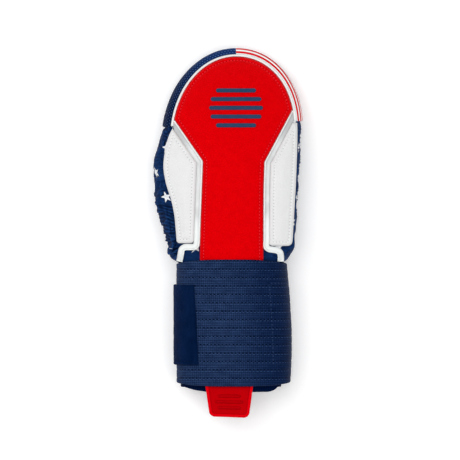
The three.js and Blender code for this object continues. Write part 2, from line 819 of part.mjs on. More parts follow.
// The moulded pull tab, with raised grip ribs.
function pullTab() {
  const top = pullHidden;
  const end = -pullShow;
  const shape = new THREE.Shape();
  const half = (y) => lerp(pullTop, pullEnd, clamp(-y / pullShow, 0, 1)) / 2;
  shape.moveTo(-half(top), top);
  shape.lineTo(-half(end + pullCorner), end + pullCorner);
  shape.quadraticCurveTo(-half(end), end, -half(end) + pullCorner, end);
  shape.lineTo(half(end) - pullCorner, end);
  shape.quadraticCurveTo(half(end), end, half(end + pullCorner), end + pullCorner);
  shape.lineTo(half(top), top);
  const sheet = { depth: pullThickness, bevelEnabled: false, curveSegments: 6 };
  let solid = solidOf(new THREE.ExtrudeGeometry(shape, sheet));
  for (const [row, length] of [0.62, 0.75, 0.62].entries()) {
    const bar = roundBar(length * pullEnd * 0.9, pullRibHeight, pullRibRaise + pullThickness / 2);
    bar.translate(0, end / 2 + (1 - row) * pullRibPitch, pullThickness / 2);
    solid = solid.add(solidOf(bar));
  }
  return geometryOf(solid);
}

// One raised rib laid on the red panel.
function panelRib(row) {
  const off = row * ribPitch;
  const length = ribLongest * Math.sqrt(1 - (row / 3) ** 2);
  const half = length / 2;
  const y0 = ribMiddle.y - off - ribHeight / 2;
  const rows = [0, 0.3, 0.7, 1].map((t) => y0 + t * ribHeight);
  const narrow = (y) => {
    const t = Math.abs(y - y0 - ribHeight / 2) / (ribHeight / 2);
    return half - (ribHeight / 2) * (1 - Math.sqrt(Math.max(0, 1 - t * t * 0.96)));
  };
  const low = (x, y) => panelHigh(x, y) + seat / 2;
  const high = (x, y) => panelHigh(x, y) + seat / 2 + ribThickness;
  const left = (y) => ribMiddle.x - narrow(y);
  const right = (y) => ribMiddle.x + narrow(y);
  return pad(rows, left, right, steps(8), low, high);
}

const mitt = new THREE.Group();

function piece(name, geometry, color, roughness, metalness = 0) {
  const material = new THREE.MeshStandardMaterial({ color, roughness, metalness });
  const mesh = new THREE.Mesh(geometry, material);
  mesh.name = name;
  mitt.add(mesh);
  return mesh;
}

piece("sleeve", sleeve(), navy, 0.9);
piece("cuff", cuff(), navy, 0.95);
piece("palm_pad", palmPad(), navy, 0.7);
piece("back_panel", redPanel(), red, 0.7);
piece("wing_left", wing(-1), white, 0.65);
piece("wing_right", wing(1), white, 0.65);
piece("rail_left", rail(-1), 0xd9dcdc, 0.35);
piece("rail_right", rail(1), 0xd9dcdc, 0.35);
piece("piping", piping(), 0xf4f6f4, 0.8);
piece("guard_left", guard(-1), navy, 0.85);
piece("guard_right", guard(1), 0xf0f4f2, 0.6);
piece("wrist_strap", strap(), 0x1b2d57, 0.85);
piece("hook_tab", hookTab(), 0x0a1c42, 0.95);
const pull = piece("pull_tab", pullTab(), red, 0.5);
const pullRow = -strapWidth;
pull.position.set(pullShift, pullRow, levels(pullRow + pullHidden).back + seat);
for (const row of [-2, -1, 0, 1, 2]) piece(`grip_rib_${row + 3}`, panelRib(row), 0x24405f, 0.45);

// The origin is the middle of the mitt's outline, on the surface that it lies on.
const box = new THREE.Box3().setFromObject(mitt);
const middle = box.getCenter(new THREE.Vector3());
mitt.position.set(-middle.x, -middle.y, -box.min.z);

export default mitt;
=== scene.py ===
# A sliding mitt for the right hand, dressed in cloth, leather and rubber over its solids.
# Shapes are worked out in millimetres in the mitt's own plan: x across the hand from the middle of the
# wrist, y towards the fingertips from the strap's edge, z up from the palm side of the sleeve. place()
# turns them into metres in the frame of the solids. A side is -1 on the left and 1 on the right.
import math

import bmesh
import bpy
import numpy as np
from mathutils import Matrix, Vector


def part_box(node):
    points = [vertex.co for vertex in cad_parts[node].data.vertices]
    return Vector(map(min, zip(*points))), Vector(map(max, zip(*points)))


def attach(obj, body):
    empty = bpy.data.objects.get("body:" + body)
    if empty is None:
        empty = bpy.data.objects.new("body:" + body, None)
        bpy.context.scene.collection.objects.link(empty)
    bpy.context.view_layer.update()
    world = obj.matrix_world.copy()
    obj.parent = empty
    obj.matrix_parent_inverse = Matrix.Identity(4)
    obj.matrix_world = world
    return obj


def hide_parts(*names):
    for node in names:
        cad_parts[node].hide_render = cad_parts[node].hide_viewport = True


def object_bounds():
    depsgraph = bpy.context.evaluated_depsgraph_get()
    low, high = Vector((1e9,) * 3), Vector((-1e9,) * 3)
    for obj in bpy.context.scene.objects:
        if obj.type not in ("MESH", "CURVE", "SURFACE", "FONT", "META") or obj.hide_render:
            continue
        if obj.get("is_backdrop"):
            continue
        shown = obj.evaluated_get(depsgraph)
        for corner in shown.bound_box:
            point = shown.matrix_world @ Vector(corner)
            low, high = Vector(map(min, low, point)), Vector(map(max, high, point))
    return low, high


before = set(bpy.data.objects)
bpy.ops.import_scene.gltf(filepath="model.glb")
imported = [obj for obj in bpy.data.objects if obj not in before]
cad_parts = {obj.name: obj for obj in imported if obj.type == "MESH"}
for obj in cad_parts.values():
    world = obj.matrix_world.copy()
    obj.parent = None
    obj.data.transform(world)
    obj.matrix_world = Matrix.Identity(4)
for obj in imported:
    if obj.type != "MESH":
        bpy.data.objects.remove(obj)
cad_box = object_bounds()

# Sizes, as in the solids

seat = 0.5
slip = 0.4
hand_length = 164.4
palm_half = 52
body_height = 46
sleeve_wall = 3
cuff_show = 4.6
cuff_corner = 4
cuff_curve = {-1: 4, 1: 12}
cuff_from = 0.93
head_middle = 3.2
head_join = hand_length * 0.6387
arches = {-1: (hand_length * 0.5815, 52.8, 2), 1: (hand_length * 0.6302, 48.6, 2.12)}
panel_thickness = 4.2
panel_inset = 2.1
panel_strip = {-1: 25.6, 1: 25}
wing_thickness = 3.4
palm_thickness = 5
palm_margin = 3
palm_end = 5.6
palm_flat = 0.6
rail_width = 4.4
piping_radius = 0.65
guard_thickness = 1.8
piping_end = {-1: hand_length * 0.646, 1: hand_length * 0.6722}
guard_end = {-1: hand_length * 0.6417, 1: hand_length * 0.6722}
strap_width = 101.2
strap_thickness = 2
strap_left = 42.4
strap_right = 41.2
strap_flare = 4
strap_sag = 3.2
strap_rise = 2.6
tab_width = 64
tab_drop = 20
tab_thickness = 1.9
pull_top = 38
pull_end = 32.4
pull_show = 24.4
pull_hidden = 14
pull_thickness = 2.4
pull_shift = -2.2
pull_corner = 4
panel_tail = strap_width - pull_hidden - 7
cuff_seam = strap_width * 0.69
rib_thickness = 1.5
rib_height = 3.4
rib_pitch = 7
rib_longest = 43
rib_middle = (3.2, hand_length * 0.736)
wrist_length = strap_width + cuff_show

# Columns: share along the mitt, left, right
SIDES = [
    (-1, 0.735, 0.705), (-0.3, 0.735, 0.705), (-0.1, 0.74, 0.71), (-0.03, 0.73, 0.706),
    (0.012, 0.86, 0.81), (0.034, 0.91, 0.865), (0.065, 0.905, 0.938), (0.12, 0.93, 0.952),
    (0.19, 0.962, 0.966), (0.265, 1.02, 0.978), (0.33, 1.066, 0.988), (0.4, 1.088, 0.996),
    (0.47, 1.09, 1.004), (0.54, 1.06, 1.008), (0.6, 1.017, 1.004),
]
BULGES = [
    (-1, 0.055, 0.055), (-0.1, 0.055, 0.055), (-0.03, 0.042, 0.042), (0.012, 0.065, 0.045),
    (0.034, 0.08, 0.035), (0.065, 0.075, 0.03), (0.12, 0.085, 0.025), (0.19, 0.115, 0.025),
    (0.265, 0.145, 0.025), (0.33, 0.118, 0.028), (0.4, 0.108, 0.032), (0.47, 0.112, 0.036),
    (0.54, 0.092, 0.038), (0.6, 0.084, 0.042), (0.66, 0.088, 0.056), (1, 0.056, 0.056),
]
# Columns: share along the mitt, back, palm
PROFILE = [
    (-1, 0.945, 0), (-0.5, 0.99, 0), (0, 1, 0), (0.25, 0.978, 0), (0.45, 0.924, 0),
    (0.63, 0.826, 0), (0.72, 0.765, 0.008), (0.8, 0.69, 0.045), (0.9, 0.576, 0.125),
    (1, 0.43, 0.225),
]
crown_share = 0.16
crown_power = 2.4
palm_curl = 4
WAIST = [(-0.85, 1, 1), (0, 1, 1), (0.12, 0.982, 0.992), (0.33, 0.932, 1), (0.462, 0.9, 1.024)]
waist_top = {-1: 0.478, 1: 0.473}
shoulder = {-1: 0.68, 1: 0.73}
WINGS = [
    (0.05, 0.83, 0.86), (0.075, 0.845, 0.915), (0.1, 0.852, 0.93), (0.16, 0.868, 0.942),
    (0.22, 0.888, 0.954), (0.29, 0.935, 0.966), (0.35, 0.997, 0.978), (0.41, 1.04, 0.986),
    (0.46, 1.053, 0.992), (0.52, 1.032, 1), (0.575, 0.995, 1.004), (0.615, 0.95, 1.005),
    (0.66, 0.87, 1.003),
]
wing_rows = {-1: (0.079, 0.641), 1: (0.066, 0.664)}
# Columns: share across the palm's half, share along the mitt
RAIL_STEPS = {
    -1: [(0.553, 0.066), (0.6, 0.0605), (0.72, 0.0595), (0.766, 0.05), (0.784, 0.026), (0.806, -0.016)],
    1: [(0.528, 0.062), (0.563, 0.0515), (0.68, 0.0445), (0.732, 0.035), (0.748, 0.016), (0.748, -0.016)],
}
rail_top = {-1: 0.676, 1: 0.726}
strap_start = 0.84
strap_stop = -0.34
strap_climb = (0.02, -0.17)
tab_stop = (-0.636, -0.6485)
wrap_back = 3.2
wrap_palm = 5

# Sizes of the dressing alone

side_names = {-1: "left", 1: "right"}
sleeve_columns = (80, 26)
red_stitch = 2.9
wing_stitch = 3.1
palm_stitch = 3.4
strap_line = 7.7
strap_line_pitch = 6.68
# where the strap's doubled end is sewn: u = seam_start + seam_lean v on its cloth
seam_start = 31.2
seam_lean = 0.022

# The frame of the solids, from where three of them lie
offset = np.array([
    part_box("pull_tab")[0][0] * 1000 + pull_top / 2 - pull_shift,
    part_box("sleeve")[0][1] * 1000 + cuff_seam,
    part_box("palm_pad")[0][2] * 1000 + palm_thickness + seat,
])

# Curves and steps


def ramp(value, low, high):
    """0 on low's side, 1 on high's side, and straight between them."""
    return np.clip((value - low) / (high - low), 0, 1)


def bell(value, width):
    return np.exp(-((value / width) ** 2))


def ease(t):
    return t * t * (3 - 2 * t)


def dome(t):
    """Height of a round edge at a share t of the way in from it."""
    t = np.clip(t, 0, 1)
    return np.sqrt(t * (2 - t))


def ridge(at, pitch):
    """Sharp valleys between round ridges, from -1 to 1."""
    return 2 * np.abs(np.sin(math.pi * at / pitch)) - 1


def edge_steps(count, power=1.9):
    """Columns from 0 to 1, closer together towards both ends."""
    t = np.linspace(-1, 1, count)
    return 0.5 + 0.5 * np.sign(t) * (1 - (1 - np.abs(t)) ** power)


def quarter(count, start=0.0, stop=math.pi / 2):
    """Sines from start to stop, which close up towards a quarter turn."""
    return np.sin(np.linspace(start, stop, count))


def together(*parts):
    """Arrays of one shape, or that can be spread to it, side by side in a last axis."""
    return np.stack(np.broadcast_arrays(*parts), -1)


def unit(vectors):
    return vectors / np.linalg.norm(vectors, axis=-1, keepdims=True)


def lengths(line):
    """Length of a line up to each of its points."""
    return np.concatenate([[0], np.cumsum(np.linalg.norm(np.diff(line, axis=0), axis=1))])


def on_line(at, run, line):
    """Points of a line at given lengths along it."""
    return np.stack([np.interp(at, run, line[:, k]) for k in range(line.shape[1])], -1)


def spaced(line, step):
    """The same line with points an equal way apart."""
    line = np.asarray(line, float)
    run = lengths(line)
    count = max(2, int(round(run[-1] / step)) + 1)
    return on_line(np.linspace(0, run[-1], count), run, line)


def smooth(table, column):
    """A smooth curve through one column of a table, by its first column."""
    at = np.array([row[0] for row in table], float)
    value = np.array([row[column] for row in table], float)
    n = len(at) - 1
    before = np.maximum(np.arange(n + 1) - 1, 0)
    after = np.minimum(np.arange(n + 1) + 1, n)
    slope = (value[after] - value[before]) / (at[after] - at[before])

    def curve(x):
        x = np.clip(np.asarray(x, float), at[0], at[-1])
        i = np.clip(np.searchsorted(at, x, side="right") - 1, 0, n - 1)
        span = at[i + 1] - at[i]
        t = (x - at[i]) / span
        rise = value[i + 1] - value[i]
        bend_in = slope[i] * span - rise
        bend_out = rise - slope[i + 1] * span
        return value[i] + t * rise + t * (1 - t) * ((1 - t) * bend_in + t * bend_out)

    return curve


def catmull(points, count):
    """Evenly spaced points of a smooth line through the given ones."""
    p = np.asarray(points, float)
    p = np.concatenate([[2 * p[0] - p[1]], p, [2 * p[-1] - p[-2]]])
    t = np.linspace(0, 1, 40, endpoint=False)[:, None]
    fine = []
    for p0, p1, p2, p3 in zip(p, p[1:], p[2:], p[3:]):
        d0, d1, d2 = (max(np.linalg.norm(b - a), 1e-8) ** 0.5 for a, b in ((p0, p1), (p1, p2), (p2, p3)))
        t1 = ((p1 - p0) / d0 - (p2 - p0) / (d0 + d1) + (p2 - p1) / d1) * d1
        t2 = ((p2 - p1) / d1 - (p3 - p1) / (d1 + d2) + (p3 - p2) / d2) * d1
        square = (-3 * p1 + 3 * p2 - 2 * t1 - t2) * t**2
        fine.append(p1 + t1 * t + square + (2 * p1 - 2 * p2 + t1 + t2) * t**3)
    fine = np.concatenate([*fine, p[-2:-1]])
    run = lengths(fine)
    return on_line(np.linspace(0, run[-1], count), run, fine)


def runs_of(points):
    """Directions of a line at its points."""
    before = np.concatenate([points[:1], points[:-1]])
    after = np.concatenate([points[1:], points[-1:]])
    return unit(after - before)


def noise(u, v, cell, seed):
    """Smooth seeded noise from -1 to 1, with features about one cell across."""
    lattice = np.random.default_rng(seed).uniform(-1, 1, (64, 64))
    u, v = np.broadcast_arrays(np.asarray(u, float) / cell, np.asarray(v, float) / cell)
    i, j = np.floor(u).astype(int), np.floor(v).astype(int)
    a, b = ease(u - i), ease(v - j)
    at = lambda p, q: lattice[p % 64, q % 64]
    low = at(i, j) * (1 - a) + at(i + 1, j) * a
    high = at(i, j + 1) * (1 - a) + at(i + 1, j + 1) * a
    return low * (1 - b) + high * b


def near(points, line):
    """Distance of (..., 2) points from the closest of a line's (n, 2) points."""
    flat = points.reshape(-1, 2)
    found = np.empty(len(flat))
    for i in range(0, len(flat), 4000):
        part = flat[i : i + 4000, None, :] - line[None, :, :]
        found[i : i + 4000] = np.sqrt((part**2).sum(-1).min(-1))
    return found.reshape(points.shape[:-1])


def blur(field, rows, columns):
    """A field smoothed over so many of its rows and columns."""
    for axis, width in ((0, rows), (1, columns)):
        reach = int(3 * width) + 1
        weights = np.exp(-0.5 * (np.arange(-reach, reach + 1) / width) ** 2)
        weights /= weights.sum()
        pad = [(0, 0), (0, 0)]
        pad[axis] = (reach, reach)
        wide = np.pad(field, pad, mode="edge")
        field = np.apply_along_axis(lambda line: np.convolve(line, weights, mode="valid"), axis, wide)
    return field


# The mitt's surfaces


def share(y):
    y = np.asarray(y, float)
    return np.where(y < 0, y / wrist_length, y / hand_length)


def along(at):
    return at * (wrist_length if at < 0 else hand_length)


def arch_at(y, arch, inset=0):
    centre, half, power = arch
    up = np.clip((np.asarray(y, float) - centre) / (hand_length - centre - inset), 0, 1)
    return (half - inset) * (1 - up**power) ** (1 / power)


head_row = (
    float(share(head_join)),
    float(arch_at(head_join, arches[-1]) - head_middle) / palm_half,
    float(arch_at(head_join, arches[1]) + head_middle) / palm_half,
)
side_share = {-1: smooth([*SIDES, head_row], 1), 1: smooth([*SIDES, head_row], 2)}
bulge_share = {-1: smooth(BULGES, 1), 1: smooth(BULGES, 2)}
back_share = smooth(PROFILE, 1)
palm_share = smooth(PROFILE, 2)
waist = {-1: smooth(WAIST, 1), 1: smooth(WAIST, 2)}
wing_share = {-1: smooth(WINGS, 1), 1: smooth(WINGS, 2)}


def seam_at(y, side, inset=0):
    """x of the seam between the back and the side wall."""
    y = np.asarray(y, float)
    head = head_middle + side * arch_at(y, arches[side], inset)
    return np.where(y > head_join, head, side * (side_share[side](share(y)) * palm_half - inset))


def levels(y, inset=0):
    """Back, palm, crown, upper seam and lower seam at y."""
    back = body_height * back_share(share(y)) - inset
    palm = body_height * palm_share(share(y)) + inset
    crown = crown_share * (back - palm)
    return back, palm, crown, back - crown, palm + crown


def across(x, y, inset=0):
    left = seam_at(y, -1, inset)
    right = seam_at(y, 1, inset)
    return np.clip((2 * x - left - right) / np.maximum(right - left, 1e-6), -1, 1)


def fullness(y, inset=0):
    return 1 - ramp(y, head_join, hand_length - inset) ** 6


def back_at(x, y, inset=0):
    _, _, crown, upper, _ = levels(y, inset)
    return upper + crown * (1 - np.abs(across(x, y, inset)) ** crown_power) * fullness(y, inset)


def palm_at(x, y, inset=0):
    _, _, crown, _, lower = levels(y, inset)
    return lower - crown * (1 - np.abs(across(x, y, inset)) ** palm_curl) * fullness(y, inset)


def wall_at(y, side, turn, inset=0, out=0):
    """Points of the side wall: turn runs from 1 at the upper seam to -1 at the lower one."""
    y, turn, out = np.broadcast_arrays(np.asarray(y, float), turn, out)
    _, _, _, upper, lower = levels(y, inset)
    step = 0.05
    tip = y > hand_length - inset - step
    safe = np.minimum(y, hand_length - inset - step)
    bend = (seam_at(safe + step, side, inset) - seam_at(safe - step, side, inset)) / (2 * step)
    size = np.hypot(1, bend)
    nx = np.where(tip, 0, side / size)
    ny = np.where(tip, 1, -side * bend / size)
    bulge = palm_half * bulge_share[side](np.where(tip, 1, share(y))) + out
    angle = turn * math.pi / 2
    return np.stack([
        seam_at(y, side, inset) + nx * bulge * np.cos(angle),
        y + ny * bulge * np.cos(angle),
        (upper + lower) / 2 + ((upper - lower) / 2 + out) * np.sin(angle),
    ], -1)


def panel_edge(y, side):
    """x of the red panel's edge: its head, a straight shoulder and the strip."""
    y = np.asarray(y, float)
    head_from = along(shoulder[side])
    strip_to = along(waist_top[side])
    head = seam_at(np.maximum(y, head_from), side, panel_inset)
    strip = side * panel_strip[side] * waist[side](share(np.minimum(y, strip_to)))
    t = ramp(y, strip_to, head_from)
    return np.where(t >= 1, head, strip + (head - strip) * t)


def wing_edge(y, side):
    """x of a white panel's outer edge."""
    return side * wing_share[side](share(y)) * palm_half


# Meshes


def place(points):
    return (np.asarray(points, float) + offset) * 0.001


class Skin:
    """Collects the corners and faces of one mesh, with a coordinate in millimetres on each corner."""

    def __init__(self):
        self.points = []
        self.count = 0
        self.faces = []
        self.coords = []
        self.slots = []

    def add(self, points):
        points = np.asarray(points, float).reshape(-1, 3)
        self.points.append(points)
        first = self.count
        self.count += len(points)
        return first

    def quads(self, corners, coords, slot=0):
        faces = np.stack(corners, -1).reshape(-1, 4)
        self.faces.append(faces)
        self.coords.append(np.stack(coords, -2).reshape(-1, 4, 2))
        self.slots.append(np.full(len(faces), slot))

    def tube(self, rows, coords, half=None, slot=0):
        """Closed rings of (rows, ring) points. A ladder of faces from half to half closes its two ends."""
        count, ring = rows.shape[:2]
        ids = np.arange(count * ring).reshape(count, ring) + self.add(rows)
        nxt = np.roll(ids, -1, axis=1)
        c = coords
        if c.shape[1] == ring:
            c = np.concatenate([c, c[:, :1]], axis=1)
        self.quads((ids[:-1], nxt[:-1], nxt[1:], ids[1:]),
                   (c[:-1, :-1], c[:-1, 1:], c[1:, 1:], c[1:, :-1]), slot)
        if half:
            for k, order in ((0, 1), (count - 1, -1)):
                top, low = ids[k, :half], ids[k, half:][::-1]
                corners = (top[:-1], low[:-1], low[1:], top[1:])[::order]
                top, low = c[k, :half], c[k, half : 2 * half][::-1]
                self.quads(corners, (top[:-1], low[:-1], low[1:], top[1:])[::order], slot)
        return ids

    def build(self, name, *looks_used, sharp=50):
        points = np.concatenate(self.points)
        faces = np.concatenate(self.faces)
        mesh = bpy.data.meshes.new(name)
        mesh.vertices.add(len(points))
        mesh.vertices.foreach_set("co", place(points).ravel())
        mesh.loops.add(faces.size)
        mesh.loops.foreach_set("vertex_index", faces.ravel().astype(np.int32))
        mesh.polygons.add(len(faces))
        mesh.polygons.foreach_set("loop_start", (np.arange(len(faces)) * 4).astype(np.int32))
        mesh.update(calc_edges=True)
        mesh.uv_layers.new(name="cut")
        mesh.uv_layers["cut"].data.foreach_set("uv", np.concatenate(self.coords).ravel())
        for look in looks_used:
            mesh.materials.append(look)
        mesh.polygons.foreach_set("material_index", np.concatenate(self.slots).astype(np.int32))
        mesh.validate()
        mend(mesh)
        mesh.shade_smooth()
        mesh.set_sharp_from_angle(angle=math.radians(sharp))
        thing = bpy.data.objects.new(name, mesh)
        bpy.context.scene.collection.objects.link(thing)
        return thing


def mend(mesh):
    """Joins corners that lie together, drops the faces that close up, and turns all faces outwards."""
    work = bmesh.new()
    work.from_mesh(mesh)
    bmesh.ops.remove_doubles(work, verts=work.verts, dist=2e-6)
    bmesh.ops.dissolve_degenerate(work, edges=work.edges, dist=1e-6)
    bmesh.ops.recalc_face_normals(work, faces=work.faces)
    work.to_mesh(mesh)
    work.free()


def dress(piece, *nodes, slot):
    """Puts a piece in the place of CAD nodes, on the mitt's one body."""
    if nodes:
        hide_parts(*nodes)
    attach(piece, "root")
    return piece


def sheet_ring(outer, inner):
    """One closed ring a row from the two faces of a band or pad."""
    return np.concatenate([outer, inner[:, ::-1]], axis=1)


def outward(rings):
    """Unit normals of closed rings, turned away from each ring's middle."""
    normal = np.cross(np.gradient(rings, axis=1), np.gradient(rings, axis=0))
    normal /= np.maximum(np.linalg.norm(normal, axis=-1, keepdims=True), 1e-9)
    out = np.sign((normal * (rings - rings.mean(axis=1, keepdims=True))).sum(-1, keepdims=True))
    return normal * np.where(out == 0, 1, out)


def capsules(skin, centres, runs, ups, length, radius, dip=0.25, sides=6):
    """Short round threads, one at each centre, whose ends dip into the cloth."""
    along_at = np.array([-0.5, -0.44, -0.25, 0, 0.25, 0.44, 0.5])
    round_at = np.array([0.05, 0.62, 0.95, 1, 0.95, 0.62, 0.05])
    low = -dip * (np.abs(along_at) * 2) ** 2.2
    across_of = unit(np.cross(runs, ups))
    angle = np.linspace(0, 2 * math.pi, sides, endpoint=False)
    ring = np.stack([np.cos(angle), np.sin(angle)], -1) * radius
    coords = together(along_at[:, None] * length, np.zeros(sides))
    for centre, run, up, beside in zip(centres, runs, ups, across_of):
        base = centre + along_at[:, None] * length * run + low[:, None] * up
        turned = ring[None, :, :1] * beside + ring[None, :, 1:] * up
        skin.tube(base[:, None, :] + round_at[:, None, None] * turned, coords, half=sides // 2)


def sew(line, lift, pitch, length):
    """Centres, directions and ups of the stitches along an (n, 2) line laid on a height function."""
    run = lengths(line)
    count = max(1, int(run[-1] / pitch))
    at = (np.arange(count) + 0.5) * run[-1] / count

    def lifted(s):
        p = on_line(s, run, line)
        return np.concatenate([p, lift(p[:, 0], p[:, 1])[:, None]], -1)

    mid, a, b = lifted(at), lifted(at - length / 2), lifted(at + length / 2)
    runs = (b - a) / np.maximum(np.linalg.norm(b - a, axis=-1, keepdims=True), 1e-9)
    return mid, runs, np.cross(unit(np.cross(runs, [0, 0, 1.0])), runs)


# Materials


def linear(*rgb):
    """A colour from its red, green and blue as a screen shows them, 0 to 255."""
    out = []
    for v in rgb:
        c = v / 255
        out.append(c / 12.92 if c <= 0.04045 else ((c + 0.055) / 1.055) ** 2.4)
    return (*out, 1.0)


class Term:
    """A number or colour that a material works out, with the signs of arithmetic."""

    def __init__(self, look, socket):
        self.look = look
        self.socket = socket

    def __add__(self, other):
        return self.look.math("ADD", self, other)

    def __sub__(self, other):
        return self.look.math("SUBTRACT", self, other)

    def __rsub__(self, other):
        return self.look.math("SUBTRACT", other, self)

    def __mul__(self, other):
        return self.look.math("MULTIPLY", self, other)

    def __truediv__(self, other):
        return self.look.math("DIVIDE", self, other)

    def __mod__(self, other):
        return self.look.math("MODULO", self, other)

    def __abs__(self):
        return self.look.math("ABSOLUTE", self)

    def __round__(self):
        return self.look.math("ROUND", self)


class Look:
    """A node material, with short names for the nodes that it needs."""

    def __init__(self, name, rough=0.7, sheen=0.0, coat=0.0, specular=0.5, tint=None):
        self.material = bpy.data.materials.new(name)
        self.material.use_nodes = True
        self.tree = self.material.node_tree
        self.tree.nodes.clear()
        out = self.tree.nodes.new("ShaderNodeOutputMaterial")
        self.shader = self.tree.nodes.new("ShaderNodeBsdfPrincipled")
        self.shader.inputs["Roughness"].default_value = rough
        self.shader.inputs["Sheen Weight"].default_value = sheen
        self.shader.inputs["Coat Weight"].default_value = coat
        self.shader.inputs["Specular IOR Level"].default_value = specular
        if tint:
            self.shader.inputs["Specular Tint"].default_value = linear(*tint)
            self.shader.inputs["Sheen Tint"].default_value = linear(*tint)
        self.tree.links.new(self.shader.outputs[0], out.inputs[0])

    def node(self, kind, inputs=None, **settings):
        node = self.tree.nodes.new(kind)
        for key, value in settings.items():
            setattr(node, key, value)
        for key, value in (inputs or {}).items():
            self.put(node.inputs[key], value)
        return node

    def put(self, socket, value):
        if isinstance(value, Term):
            self.tree.links.new(value.socket, socket)
        else:
            socket.default_value = value

    def read(self, kind, output, inputs=None, **settings):
        """One output of a new node."""
        return Term(self, self.node(kind, inputs, **settings).outputs[output])

    def math(self, op, a, b=0.0, clamp=False):
        return self.read("ShaderNodeMath", 0, {0: a, 1: b}, operation=op, use_clamp=clamp)

    def parts(self, vector):
        """The first two numbers of a vector."""
        split = self.node("ShaderNodeSeparateXYZ", {0: vector})
        return Term(self, split.outputs[0]), Term(self, split.outputs[1])

    def cut(self):
        """The two coordinates of the cloth, in millimetres."""
        return self.parts(self.read("ShaderNodeUVMap", 0, uv_map="cut"))

    def on_cut(self, su=1.0, sv=1.0):
        """The cloth's coordinates as a vector, each times its own scale."""
        inputs = {0: self.read("ShaderNodeUVMap", 0, uv_map="cut"), 1: (su, sv, 0)}
        return self.read("ShaderNodeVectorMath", 0, inputs, operation="MULTIPLY")

    def spot(self, scale=1.0):
        """The place in the mitt's frame, in millimetres times scale."""
        inputs = {0: self.read("ShaderNodeTexCoord", "Object"), "Scale": 1000.0 * scale}
        return self.read("ShaderNodeVectorMath", 0, inputs, operation="SCALE")

    def bent(self):
        """About 0.5 on flat cloth, more on its ridges and less in its valleys."""
        return self.read("ShaderNodeNewGeometry", "Pointiness")

    def noise(self, vector, scale, detail=3.0, rough=0.5):
        inputs = {"Vector": vector, "Scale": scale, "Detail": detail, "Roughness": rough}
        return self.read("ShaderNodeTexNoise", "Fac", inputs)

    def wave(self, value, pitch):
        """A smooth wave from 0 to 1 with the given pitch."""
        return self.math("SINE", value * (2 * math.pi / pitch)) * 0.5 + 0.5

    def band(self, value, low, high):
        """0 below low, 1 above high, and a smooth step between."""
        inputs = {0: value, 1: low, 2: high}
        return self.read("ShaderNodeMapRange", 0, inputs, interpolation_type="SMOOTHSTEP")

    def fade(self, value, low, high):
        """1 below low, 0 above high, and a smooth step between."""
        return 1.0 - self.band(value, low, high)

    def mix(self, factor, a, b):
        """Colour a where the factor is 0 and b where it is 1."""
        tones = [linear(*tone) if isinstance(tone, tuple) else tone for tone in (a, b)]
        inputs = {0: factor, 6: tones[0], 7: tones[1]}
        return self.read("ShaderNodeMix", 2, inputs, data_type="RGBA", blend_type="MIX")

    def bump(self, height, strength, distance, normal=None):
        inputs = {"Height": height, "Strength": strength, "Distance": distance * 0.001}
        if normal is not None:
            inputs["Normal"] = normal
        return self.read("ShaderNodeBump", 0, inputs)

    def finish(self, colour, normal=None, rough=None):
        """Puts what was worked out on the shader, and gives the material."""
        for name, value in (("Base Color", colour), ("Normal", normal), ("Roughness", rough)):
            if value is not None:
                self.put(self.shader.inputs[name], value)
        return self.material


navy_sheen = (40, 70, 130)


def weave(look, pitch, strength, depth):
    """A plain weave's relief on the cloth's own coordinates, and its normal."""
    u, v = look.cut()
    warp = look.wave(u, pitch)
    weft = look.wave(v, pitch)
    relief = warp * weft + (1.0 - warp) * (1.0 - weft)
    return relief, look.bump(relief, strength, depth)


def star_side(look, p, q, radius, tilt):
    """How far a point lies outside the edge of a five-pointed star round 0, 0."""
    size = look.math("SQRT", p * p + q * q)
    point = 2 * math.pi / 5
    # half a point puts each tip in the middle of its fold, and twenty more keep the angle above 0
    turned = look.math("ARCTAN2", p, q) + tilt + 20.5 * point
    fold = abs(turned % point - point / 2)
    inner = radius * 0.4
    ex = inner * math.cos(point / 2) - radius
    ey = inner * math.sin(point / 2)
    norm = math.hypot(ex, ey)
    beyond = (look.math("COSINE", fold) * size - radius) * (ey / norm)
    return beyond + look.math("SINE", fold) * size * (-ex / norm)


def star_cloth():
    look = Look("star_cloth", rough=0.82, sheen=0.06, specular=0.2, tint=navy_sheen)
    u, v = look.cut()
    pitch, row, radius = 22.0, 20.0, 4.7
    wobble = look.noise(look.on_cut(0.05, 0.05), 1.0, 1.0)
    # rows of stars, every second one moved on by half a pitch
    line = (v - (49.6 - 100)) / row
    index = round(line)
    place_in_row = (u + (index + 100.0) % 2.0 * (pitch / 2) + (41.1 + 1100)) / pitch
    p = (place_in_row - round(place_in_row)) * pitch
    side = star_side(look, p, (line - index) * row, radius, (wobble - 0.5) * 0.9 + 0.25)
    # gathered hard beside the thumb, where the stars disappear in the tucks and the tucks get painted shade
    shirred = look.band(v, 1.0, 5.0) * look.fade(v, 42.0, 47.0) * look.fade(u, -46.0, -42.0)
    gather = look.noise(look.on_cut(0.25, 1.0), 0.7, 3.0, 0.6)
    star = look.fade(side, -0.18, 0.18) * (1.0 - shirred * look.fade(gather, 0.62, 0.68))
    relief, normal = weave(look, 0.7, 0.45, 0.1)
    bent = look.bent()
    cloudy = look.noise(look.spot(0.05), 2.2, 5.0)
    ground = look.mix(look.band(cloudy, 0.3, 0.7), (4, 21, 54), (16, 44, 88))
    # painted shade: the ground made darker in the gathered tucks
    ground = look.mix(shirred * look.band(gather, 0.35, 0.6), ground, (3, 14, 40))
    ground = look.mix(relief * 0.5, ground, (24, 50, 92))
    # painted highlight on the ridges of the folds
    ground = look.mix(look.band(bent, 0.505, 0.56) * 0.5, ground, (34, 74, 132))
    # painted shade in the valleys of the folds
    ground = look.mix(look.fade(bent, 0.43, 0.495), ground, (1, 8, 26))
    white = look.mix(relief, (214, 218, 222), (246, 246, 246))
    # painted shade on the stars in the valleys of the folds
    white = look.mix(look.fade(bent, 0.40, 0.47), white, (168, 174, 188))
    return look.finish(look.mix(star, ground, white), normal)


